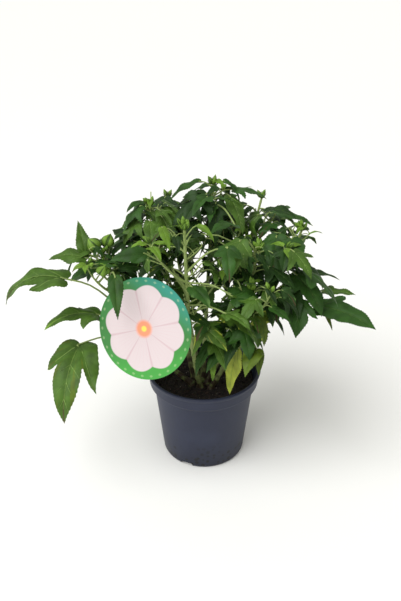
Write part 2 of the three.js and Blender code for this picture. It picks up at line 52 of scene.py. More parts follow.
# %% [markdown]
# ## Camera
# The photo was taken from a little more than a metre away, looking down on the plant. The camera's
# height, distance and lens were found from the pot, whose lip, wall and foot show their true
# proportions only from one place. The whole plant is sharp, so depth of field stays off.

# %% Camera
LOOKS_DOWN = math.radians(29.3)
CAMERA_DISTANCE = 1.1
FOCAL_PIXELS = 696
PHOTO_WIDTH = 401
PHOTO_HEIGHT = 601
SENSOR_MM = 36
AIM = Vector((-0.0055, 0, 0.286))
TO_CAMERA = Vector((0, -math.cos(LOOKS_DOWN), math.sin(LOOKS_DOWN)))


def placed(name, data):
    """A new object, linked to the scene."""
    made = bpy.data.objects.new(name, data)
    bpy.context.scene.collection.objects.link(made)
    return made


camera_data = bpy.data.cameras.new("camera")
camera_data.sensor_width = SENSOR_MM
camera_data.lens = FOCAL_PIXELS / PHOTO_HEIGHT * SENSOR_MM
camera = placed("camera", camera_data)
camera.location = AIM + TO_CAMERA * CAMERA_DISTANCE
camera.rotation_mode = "QUATERNION"
camera.rotation_quaternion = (-TO_CAMERA).to_track_quat("-Z", "Y")
bpy.context.scene.camera = camera
print("lens", round(camera_data.lens, 1), "mm at", [round(x, 3) for x in camera.location])

# %% [markdown]
# ## Helpers for meshes
# A plant is thousands of small shapes. An object for each would be slow, so a heap gathers the
# points and faces of many shapes as arrays, and one mesh is made of them at the end.
# Each face says which of the mesh's materials it takes.


# %% A heap of shapes
class Heap:
    """Gathers small shapes, in millimetres, and makes one mesh of them."""

    def __init__(self):
        self.points = []
        self.faces = []
        self.slots = []
        self.count = 0

    def put(self, points, faces, slots=0):
        """Adds a shape: its points, blocks of faces with like corners, and their material slots."""
        slots = [slots] * len(faces) if np.isscalar(slots) else slots
        for block, slot in zip(faces, slots):
            block = np.asarray(block, int)
            self.faces.append(block + self.count)
            self.slots.append(np.broadcast_to(slot, len(block)))
        self.points.append(np.asarray(points, float))
        self.count += len(points)

    def mesh(self, name, materials, smooth_below):
        """The mesh of all the shapes. Edges sharper than smooth_below degrees stay sharp."""
        made = bpy.data.meshes.new(name)
        made.vertices.add(self.count)
        made.vertices.foreach_set("co", (np.concatenate(self.points) * MM).ravel())
        corners = np.concatenate([block.ravel() for block in self.faces])
        sizes = np.concatenate([np.full(len(block), block.shape[1]) for block in self.faces])
        made.loops.add(len(corners))
        made.loops.foreach_set("vertex_index", corners)
        made.polygons.add(len(sizes))
        made.polygons.foreach_set("loop_start", np.concatenate([[0], np.cumsum(sizes)[:-1]]))
        made.polygons.foreach_set("loop_total", sizes)
        made.polygons.foreach_set("material_index", np.concatenate(self.slots))
        made.update(calc_edges=True)
        made.validate()
        for finish in materials:
            made.materials.append(finish)
        made.shade_smooth()
        made.set_sharp_from_angle(angle=math.radians(smooth_below))
        return made


def piece(name, heap, materials, slot, *nodes, smooth_below=50):
    """Makes a heap a piece of the part's one body, with the nodes it stands for. Its slot is not used."""
    made = placed(name, heap.mesh(name, materials, smooth_below))
    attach(made, "root")
    if nodes:
        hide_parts(*nodes)
    print(f"{name}: {len(made.data.polygons)} faces")
    return made


# %% Shapes that are turned or bent along a line
TUBE_START = (0.31, 0.95, 0.05)  # a direction that no path here starts in


def between(pair, share):
    """The value that lies a share of the way from the first of a pair to the second."""
    return pair[0] + (pair[1] - pair[0]) * share


def unit(vector):
    """A vector of length one."""
    return vector / np.linalg.norm(vector)


def heading(degrees, out=1.0, up=0.0):
    """A vector that goes out in a direction round the Z axis, and up."""
    angle = math.radians(degrees)
    return np.array((math.cos(angle) * out, math.sin(angle) * out, up))


def closed(rings, start, end, sides):
    """Rings of points joined by quads, with a fan of triangles to a point at each end."""
    rows = len(rings) // sides
    row, k = np.meshgrid(np.arange(rows - 1), np.arange(sides), indexing="ij")
    here = row * sides + k
    beside = row * sides + (k + 1) % sides
    quads = np.stack([here, beside, beside + sides, here + sides], -1).reshape(-1, 4)
    k = np.arange(sides)
    beside = (k + 1) % sides
    last = (rows - 1) * sides
    start_fan = np.stack([np.full(sides, len(rings)), beside, k], -1)
    end_fan = np.stack([np.full(sides, len(rings) + 1), last + k, last + beside], -1)
    return np.concatenate([rings, [start], [end]]), [quads, start_fan, end_fan]


def turned(profile, sides):
    """A profile of radius and height, turned round the Z axis. It starts and ends on the axis."""
    profile = np.asarray(profile, float)
    angle = np.arange(sides) * 2 * math.pi / sides
    ring = np.stack([np.cos(angle), np.sin(angle)], -1)
    rows = profile[1:-1]
    flat = rows[:, None, :1] * ring[None]
    height = np.broadcast_to(rows[:, None, 1:], flat.shape[:2] + (1,))
    rings = np.concatenate([flat, height], -1).reshape(-1, 3)
    return closed(rings, (0, 0, profile[0, 1]), (0, 0, profile[-1, 1]), sides)


def tube(path, radii, sides, ridges=0.0):
    """A closed tube along a path. ridges is how far its corners stand out and in by turns."""
    path = np.asarray(path, float)
    radii = np.broadcast_to(np.asarray(radii, float), len(path))
    along = np.gradient(path, axis=0)
    along /= np.linalg.norm(along, axis=1)[:, None]
    aside = np.cross(along[0], TUBE_START)
    angle = np.arange(sides) * 2 * math.pi / sides
    swell = 1 + ridges * (-1.0) ** np.arange(sides)
    rings = []
    for place, ahead, radius in zip(path, along, radii):
        aside = unit(aside - ahead * (aside @ ahead))
        across = np.cross(ahead, aside)
        circle = np.outer(np.cos(angle) * swell, aside) + np.outer(np.sin(angle) * swell, across)
        rings.append(place + radius * circle)
    return closed(np.concatenate(rings), path[0], path[-1], sides)


def curve_through(places, count):
    """A smooth line of count points through a few places (a Catmull-Rom spline)."""
    places = np.asarray(places, float)
    before = 2 * places[:1] - places[1:2]
    after = 2 * places[-1:] - places[-2:-1]
    padded = np.concatenate([before, places, after])
    share = np.linspace(0, len(places) - 1, count)
    stretch = np.minimum(share.astype(int), len(places) - 2)
    t = (share - stretch)[:, None]
    a, b, c, d = (padded[stretch + k] for k in range(4))
    return b + 0.5 * t * (c - a + t * (2 * a - 5 * b + 4 * c - d + t * (3 * (b - c) + d - a)))


# %% [markdown]
# ## Helpers for materials
# Colours are written as sRGB hex values, as a paint program shows them, and one function turns
# them to the linear values that shaders use. One function adds a node of any kind. A material's
# recipe is a function that adds its nodes and says what the Principled shader takes from them.


# %% Colours, nodes and materials
def linear(hex_colour):
    """An sRGB hex colour as linear red, green, blue and alpha."""
    shares = [int(hex_colour[k : k + 2], 16) / 255 for k in (1, 3, 5)]
    return [c / 12.92 if c <= 0.04045 else ((c + 0.055) / 1.055) ** 2.4 for c in shares] + [1]


def add(tree, kind, sockets=None, out=0, **settings):
    """Adds a shader node. sockets gives its inputs values or links, and out names the output wanted."""
    made = tree.nodes.new("ShaderNode" + kind)
    for name, value in settings.items():
        setattr(made, name, value)
    for name, value in (sockets or {}).items():
        if isinstance(value, bpy.types.NodeSocket):
            tree.links.new(value, made.inputs[name])
        else:
            made.inputs[name].default_value = value
    return made.outputs[out] if made.outputs else made


def material(name, recipe, *details):
    """A material whose recipe gives the Principled shader its values and links."""
    made = bpy.data.materials.new(name)
    made.use_nodes = True
    made.node_tree.nodes.clear()
    node = partial(add, made.node_tree)
    place = node("TexCoord", out="Object")
    shader = node("BsdfPrincipled", recipe(node, place, *details))
    node("OutputMaterial", {"Surface": shader})
    print(f"{name}: {len(made.node_tree.nodes)} nodes")
    return made


def per_metre(millimetres):
    """A noise scale whose pattern repeats about every so many millimetres."""
    return 1 / (millimetres * MM)


print("a middle grey, #808080, is", round(linear("#808080")[0], 3), "in linear light")

# %% [markdown]
# ## The pot
# The real pot is moulded from polypropylene, thin and satin, in a dark slate grey. It has a rolled
# lip, a collar that steps in to the wall, and drainage arches in its foot. It is round, so a
# profile turned round the axis gives all of it but the arches. The profile's corners are rounded,
# as a mould's are, because a rounded edge catches the light. A Boolean then cuts the arches, since
# they are the only thing that breaks the round. The collar is 3 mm wider here than in the solid and
# the arches are 1.5 mm higher, as the photo's outline shows.

# %% Moulded polypropylene
PP_GREY = "#20263b"
PP_DUST = "#2c3247"
# the near black of the peat flecks, also used for the painted shade at the pot's foot
PP_SPLASH = "#0a0a0c"
PP_IOR = 1.49
DUST_PATCH_MM = 45
PP_GRAIN_MM = 1.5  # the mould's grain is finer, and is drawn this coarse to show at all
SPECK_MM = 9
# how dark the even film of painted shade over the pot's foot is, under the peat flecks
SPLASH_FILM = 0.4
SPLASH_ZONE = (0.005, 0.06)


def moulded_polypropylene(node, place):
    """Clouds of dust make the satin uneven, so the wall reads as plastic that has stood outdoors.
    Low down, a film of painted shade darkens the foot evenly, and dark flecks of peat from splashing lie
    over it and tie it to the ground."""
    dust = node("TexNoise", {"Vector": place, "Scale": per_metre(DUST_PATCH_MM), "Detail": 5})
    dusty = node("MapRange", {"Value": dust, "From Min": 0.45, "From Max": 0.8})
    body = node("Mix", {0: dusty, 6: linear(PP_GREY), 7: linear(PP_DUST)}, out=2, data_type="RGBA")
    cells = node("TexVoronoi", {"Vector": place, "Scale": per_metre(SPECK_MM)})
    core = node("MapRange", {"Value": cells, "From Min": 0.42, "From Max": 0.3})
    cell_number = node("SeparateColor", {"Color": cells.node.outputs["Color"]})
    every_second = node("Math", {0: cell_number, 1: 0.5}, operation="GREATER_THAN")
    # the peat flecks, plus an even film of painted shade over the pot's foot
    specks = node("Math", {0: core, 1: every_second, 2: SPLASH_FILM}, operation="MULTIPLY_ADD")
    height = node("SeparateXYZ", {"Vector": place}, out="Z")
    low = node("MapRange", {"Value": height, "From Min": SPLASH_ZONE[1], "From Max": SPLASH_ZONE[0]})
    splashed = node("Math", {0: specks, 1: low}, operation="MULTIPLY")
    grain = node("TexNoise", {"Vector": place, "Scale": per_metre(PP_GRAIN_MM), "Detail": 3})
    return {
        "Base Color": node("Mix", {0: splashed, 6: body, 7: linear(PP_SPLASH)}, out=2, data_type="RGBA"),
        "Roughness": node("MapRange", {"Value": dust, "To Min": 0.4, "To Max": 0.58}),
        "IOR": PP_IOR,
        "Specular IOR Level": 0.35,
        "Normal": node("Bump", {"Height": grain, "Strength": 0.12, "Distance": 0.0004}),
    }


# %% The pot's shape
POT_HEIGHT = 161
POT_LIP_RADIUS = 95
POT_LIP_DEPTH = 7
POT_COLLAR_RADIUS = 88.5
POT_COLLAR_BULGE = 92
POT_COLLAR_FOOT = 145
POT_NECK_RADIUS = 83.6
POT_NECK_HEIGHT = 136
POT_FOOT_RADIUS = 69.4
POT_WALL = 1.8
POT_SIDES = 144
POT_ROUNDING = 1.6
POT_SHARP = 40
FOOT_RING_WIDTH = 9
FOOT_PAD_RADIUS = 14
FLOOR_UNDERSIDE = 6
FLOOR_TOP = 8
INNER_FOOT = between((POT_FOOT_RADIUS, POT_NECK_RADIUS), FLOOR_TOP / POT_NECK_HEIGHT) - POT_WALL


def rounded(profile, radius):
    """A profile with each inner corner cut back by radius at most and rounded off."""
    places = np.asarray(profile, float)
    line = [places[0]]
    for before, corner, after in zip(places, places[1:], places[2:]):
        to_before = before - corner
        to_after = after - corner
        cut = min(radius, 0.4 * np.linalg.norm(to_before), 0.4 * np.linalg.norm(to_after))
        first = corner + unit(to_before) * cut
        last = corner + unit(to_after) * cut
        for t in (0, 0.33, 0.67, 1):
            line.append((1 - t) ** 2 * first + 2 * t * (1 - t) * corner + t * t * last)
    return np.array(line + [places[-1]])


def pot_profile():
    """Radius and height from the middle of the underside, up the outside and down the inside.
    The small numbers beside the named ones are the mould's bevels and slopes."""
    ring_inner = POT_FOOT_RADIUS - FOOT_RING_WIDTH
    lip_inner = POT_COLLAR_RADIUS - POT_WALL
    lip_underside = POT_HEIGHT - POT_LIP_DEPTH
    underside = [(0, 0), (FOOT_PAD_RADIUS, 0), (FOOT_PAD_RADIUS + 2, FLOOR_UNDERSIDE)]
    foot_ring = [(ring_inner, FLOOR_UNDERSIDE), (ring_inner + 1.5, 0), (POT_FOOT_RADIUS - 2.2, 0)]
    wall = [(POT_FOOT_RADIUS, 3.5), (POT_NECK_RADIUS - 0.4, POT_NECK_HEIGHT - 5)]
    collar = [(POT_COLLAR_BULGE - 1.5, POT_NECK_HEIGHT + 1), (POT_COLLAR_BULGE, lip_underside)]
    lip = [(POT_LIP_RADIUS - 1.2, lip_underside + 1), (POT_LIP_RADIUS, POT_HEIGHT - 1.5)]
    lip += [(POT_LIP_RADIUS - 1.5, POT_HEIGHT), (POT_LIP_RADIUS - 4.5, POT_HEIGHT)]
    inside = [(lip_inner, lip_underside), (lip_inner - 1.5, POT_COLLAR_FOOT)]
    inside += [(POT_NECK_RADIUS - POT_WALL, POT_NECK_HEIGHT), (INNER_FOOT, FLOOR_TOP), (0, FLOOR_TOP)]
    return underside + foot_ring + wall + collar + lip + inside


print("the pot's profile has", len(rounded(pot_profile(), POT_ROUNDING)), "points when rounded")

# %% Cut the drainage arches
DRAIN_ARCHES = 3
ARCH_WIDTH = 24
ARCH_HEIGHT = 7
ARCH_BELOW = 4
ARCH_REACH = 12
ARCH_DIRECTION = 245


def cut_by(target, cutter):
    """Cuts one mesh object by another with a Boolean, applies it and removes the cutter."""
    modifier = target.modifiers.new("cut", "BOOLEAN")
    modifier.operation = "DIFFERENCE"
    modifier.object = cutter
    modifier.solver = "EXACT"
    evaluated = target.evaluated_get(bpy.context.evaluated_depsgraph_get())
    result = bpy.data.meshes.new_from_object(evaluated)
    target.modifiers.clear()
    target.data = result
    bpy.data.objects.remove(cutter)


def drain_arch(direction):
    """A box with a rounded top, which stands across the foot ring in a direction in degrees."""
    half = ARCH_WIDTH / 2
    outline = [(-half, -ARCH_BELOW), (half, -ARCH_BELOW)]
    outline += [(half - 2.5, ARCH_HEIGHT - 1), (half - 4.5, ARCH_HEIGHT)]
    outline += [(-x, z) for x, z in reversed(outline[2:])]
    near = [(POT_FOOT_RADIUS - ARCH_REACH, y, z) for y, z in outline]
    far = [(POT_FOOT_RADIUS + ARCH_REACH, y, z) for y, z in outline]
    count = len(outline)
    sides = [(k, (k + 1) % count, count + (k + 1) % count, count + k) for k in range(count)]
    ends = [list(range(count))[::-1], list(range(count, 2 * count))]
    made = bpy.data.meshes.new("arch")
    made.from_pydata([Vector(p) * MM for p in near + far], [], ends + [s[::-1] for s in sides])
    made.update()
    cutter = placed("arch", made)
    cutter.rotation_euler.z = math.radians(direction)
    bpy.context.view_layer.update()
    return cutter


def make_pot():
    """The pot, turned and then cut. A Boolean's new mesh has to be smoothed again."""
    heap = Heap()
    heap.put(*turned(rounded(pot_profile(), POT_ROUNDING), POT_SIDES))
    plastic = material("moulded_polypropylene", moulded_polypropylene)
    made = piece("nursery_pot", heap, [plastic], "pot", "pot", smooth_below=POT_SHARP)
    for k in range(DRAIN_ARCHES):
        cut_by(made, drain_arch(ARCH_DIRECTION + k * 360 / DRAIN_ARCHES))
    made.data.shade_smooth()
    made.data.set_sharp_from_angle(angle=math.radians(POT_SHARP))
    print("the pot after its cuts:", len(made.data.polygons), "faces")


make_pot()

# %% [markdown]
# ## The potting soil
# It is moist peat: nearly black brown, matt and lumpy, with crumbs on top, a few pale grains of
# perlite and bits of bark. Bump alone would leave its top flat where the eye looks at it from the
# side. So the top is a fine grid whose heights come from noise, and the crumbs are small rough
# stones in one mesh. A seeded generator places them, so each run gives the same soil.

# %% Moist peat and loose crumbs
# dark peat, also laid in the lumps' hollows as painted shade
PEAT_DARK = "#100a06"
PEAT_BROWN = "#28180d"
PEAT_LUMP_MM = 3.5
CRUMB_MOTTLE_MM = 1.2
CRUMBS = {
    "peat_crumb_dark": ("#120d0b", 0.9),
    "peat_crumb_brown": ("#1e1511", 0.9),
    "bark_crumb": ("#33251c", 0.9),
    "perlite": ("#8f887c", 0.8),
}


def moist_peat(node, place):
    """The lumps' hollows take the darker brown, as painted shade over the peat's own mottle, and nothing
    shines: the eye takes it as wet and soft.
    """
    lumps = node("TexNoise", {"Vector": place, "Scale": per_metre(PEAT_LUMP_MM), "Detail": 6})
    # the darker brown follows the bump's hollows: painted shade over the peat's own two browns
    colour = node("ValToRGB", {"Fac": lumps})
    stops = colour.node.color_ramp.elements
    for stop, position, hex_colour in zip(stops, (0.35, 0.75), (PEAT_DARK, PEAT_BROWN)):
        stop.position = position
        stop.color = linear(hex_colour)
    bump = node("Bump", {"Height": lumps, "Strength": 0.8, "Distance": 0.0015})
    return {"Base Color": colour, "Roughness": 0.92, "Normal": bump}


def loose_crumb(node, place, hex_colour, roughness):
    """A crumb is rough, and its mottle keeps like crumbs from looking like copies."""
    mottle = node("TexNoise", {"Vector": place, "Scale": per_metre(CRUMB_MOTTLE_MM), "Detail": 3})
    light = node("MapRange", {"Value": mottle, "To Min": 0.5, "To Max": 1.5})
    return {
        "Base Color": node("HueSaturation", {"Color": linear(hex_colour), "Value": light}),
        "Roughness": roughness,
        "Normal": node("Bump", {"Height": mottle, "Strength": 0.5, "Distance": 0.0005}),
    }


# %% The soil's surface
SOIL_EDGE = 141
SOIL_CROWN = 143
SOIL_CROWN_RADIUS = 45
SOIL_GAP = 0.3
SOIL_SPREAD = 1  # the pot is this much wider at the soil's top than at its neck
SOIL_RADIUS = POT_NECK_RADIUS - POT_WALL - SOIL_GAP + SOIL_SPREAD
SOIL_SETTLED = 1.2
SOIL_LUMPS = ((16, 0, 1.5), (5, 7, 0.9))  # a lump's width, its layer of the noise, and its height
SOIL_RINGS = 46
SOIL_SIDES = 150


def soil_height(x, y):
    """The height of the soil's lumpy top at a place. It sinks a little towards the pot's wall."""
    share = (math.hypot(x, y) - SOIL_CROWN_RADIUS) / (SOIL_RADIUS - SOIL_CROWN_RADIUS)
    level = between((SOIL_CROWN, SOIL_EDGE), min(max(share, 0), 1))
    lumps = sum(noise.noise(Vector((x, y, z)) / wide) * tall for wide, z, tall in SOIL_LUMPS)
    return level - SOIL_SETTLED + lumps


def make_soil():
    """A turned block, whose top rings are then lifted to the soil's height."""
    bottom = FLOOR_TOP + SOIL_GAP
    radii = np.linspace(SOIL_RADIUS - 0.5, 1.2, SOIL_RINGS)
    profile = [(0, bottom), (INNER_FOOT - SOIL_GAP, bottom), (SOIL_RADIUS - 1, POT_NECK_HEIGHT)]
    profile += [(radius, SOIL_EDGE) for radius in radii] + [(0, SOIL_EDGE)]
    points, faces = turned(profile, SOIL_SIDES)
    top = points[:, 2] == SOIL_EDGE
    points[top, 2] = [soil_height(x, y) for x, y in points[top, :2]]
    heap = Heap()
    heap.put(points, faces)
    piece("peat", heap, [material("moist_peat", moist_peat)], "soil", "potting_soil")


make_soil()

# %% Crumbs on the soil
PEAT_CRUMBS = 2600
BROWNS = (0.5, 0.35, 0.15)
PALE_GRAINS = 70
BARK_BITS = 60
STONE = np.array([(1, 0, 0), (-1, 0, 0), (0, 1, 0), (0, -1, 0), (0, 0, 1), (0, 0, -1)], float)
STONE_FACES = [(0, 2, 4), (2, 1, 4), (1, 3, 4), (3, 0, 4), (2, 0, 5), (1, 2, 5), (3, 1, 5), (0, 3, 5)]
STONE_UNEVEN = (0.6, 1.3)
STONE_JITTER = 0.12
STONE_TILT = 0.35
STONE_STANDS_OUT = 0.3
FREE_AT_WALL = 3
soil_random = np.random.default_rng(11)


def scatter(heap, count, size, shape, slot):
    """Scatters rough stones on the soil. size is a pair in millimetres and shape stretches them."""
    for _ in range(count):
        distance = (SOIL_RADIUS - FREE_AT_WALL) * math.sqrt(soil_random.random())
        angle = soil_random.random() * 2 * math.pi
        x = distance * math.cos(angle)
        y = distance * math.sin(angle)
        radius = between(size, soil_random.random() ** 2)
        stone = STONE * soil_random.uniform(*STONE_UNEVEN, (6, 1)) * radius * np.array(shape)
        stone += soil_random.normal(0, STONE_JITTER, (6, 3)) * radius
        tilt = soil_random.normal(0, STONE_TILT, 2)
        spin = Matrix.Rotation(soil_random.random() * 2 * math.pi, 3, "Z")
        lean = Matrix.Rotation(tilt[0], 3, "X") @ Matrix.Rotation(tilt[1], 3, "Y")
        stone = stone @ np.array(spin @ lean).T
        height = soil_height(x, y) + radius * shape[2] * STONE_STANDS_OUT
        heap.put(stone + [x, y, height], [STONE_FACES], slot)


def make_crumbs():
    """Peat crumbs of three browns, then longer bits of bark and a few pale grains."""
    heap = Heap()
    for slot, share in enumerate(BROWNS):
        scatter(heap, int(PEAT_CRUMBS * share), size=(0.6, 2.6), shape=(1, 0.8, 0.7), slot=slot)
    scatter(heap, BARK_BITS, size=(1.6, 4.0), shape=(1.6, 0.5, 0.3), slot=2)
    scatter(heap, PALE_GRAINS, size=(0.5, 1.4), shape=(1, 0.9, 0.8), slot=3)
    materials = [material(name, loose_crumb, *look) for name, look in CRUMBS.items()]
    piece("peat_crumbs", heap, materials, "soil", smooth_below=25)


make_crumbs()

# %% [markdown]
# ## How the shrub grows
# Nine canes rise from the soil, and each bends outward as one smooth curve. Leaves stand round a
# cane's upper part by the golden angle, and get smaller and younger towards its tip. Three twigs
# branch from each cane and carry leaves in the same way. A particle system could scatter leaves
# faster, but the solid plant in the frame grew by this rule, and only the same rule puts the
# leaves where its leaves are.
#
# The eye checks a plant by its outline and by its largest leaves in front. So those are stated one
# by one, each where the photo shows it. The solids share the first few of each cane, with the
# numbers given here. The later ones, rounded to fives, are too many for the solids and stand in the
# scene alone. A leaf's look says how it is drawn: its colour, or a blade that is a little longer,
# narrower or more bent than its solid's.

# %% The canes and their stated leaves
DEEP, MID, FRESH, YOUNG, OLIVE, YELLOW, DRIED, UNDERSIDE, RIB, PALE_RIB = range(10)


def reaching(at, toward, stalk, rise, blade, turn, pitch, droop, lobes, look=()):
    """A stated leaf. It leaves its cane at a share of the cane's length, toward a direction, on a
    stalk in millimetres that rises by degrees. Its blade in millimetres turns aside from there,
    starts with a pitch and droops towards its tip. lobes is the side lobes' share of its length."""
    return dict(locals(), roll=0)


def cane(name, foot, tip, bow, lift, leaves, size, spiral, seed, stated=(), fat_buds=False):
    """A cane: its foot and tip, how it bows and lifts, and what the rule needs to grow its leaves."""
    return SimpleNamespace(**locals())


# How some stated leaves are drawn. lift raises one, roll and twist tilt its blade about the midrib,
# narrow is its width against the usual one, fold is how far its halves fold up, and hands and spread
# are its side lobes' lengths and angle. dry is how many teeth of its tip turn to the colour end, and
# streaks is the share of it that turns to the colours turns.
FAR_LEFT = dict(
    colour=FRESH, dry=4, lift=8, pitch=26, droop=103, blade=118, narrow=0.88, roll=-8, fold=0.1,
    hands=(1.25, 0.7), spread=30,
)
LEFT_MIDDLE = dict(
    colour=FRESH, dry=4, end=YOUNG, heading=198, lift=-3, pitch=30, droop=76, blade=92, fold=0.1,
    hands=(0.85, 0.6), spread=46, narrow=0.8,
)
HANGING_LEFT = dict(
    colour=FRESH, dry=2, streaks=0.2, turns=(OLIVE, OLIVE), narrow=0.82, twist=0.1, fold=0.12,
    hands=(1.4, 0.95), spread=30, heading=258, lift=5, pitch=2, droop=94, blade=140,
)
FAR_RIGHT = dict(colour=MID, narrow=1.05, roll=18, lift=-4, fold=0.1, twist=0, hands=(0.9, 0.6))
RIGHT_LOW = dict(colour=MID, lift=5, blade=58, narrow=1.35, roll=15)
LEFT_SMALL = dict(colour=FRESH, heading=174, pitch=20, droop=53, blade=61, narrow=1.2, fold=0.1, roll=-15)
BEFORE_LABEL = dict(colour=MID, lift=13, blade=66, narrow=0.72, fold=0.15)
LOW_YELLOW = dict(colour=YELLOW, narrow=0.85, fold=0.1)
LOW_OLIVE = dict(colour=OLIVE, streaks=0.12, blade=40, narrow=0.8, fold=0.1)
LOW_STREAKED = dict(colour=OLIVE, streaks=0.3, blade=54, narrow=0.7)
BROAD_DEEP = dict(colour=DEEP, narrow=1.1, fold=0.1)
BROAD_MID = dict(colour=MID, narrow=1.1, fold=0.1)
BROADER_MID = dict(colour=MID, narrow=1.15, fold=0.1)
BROAD_FRESH = dict(colour=FRESH, narrow=1.1, fold=0.1)

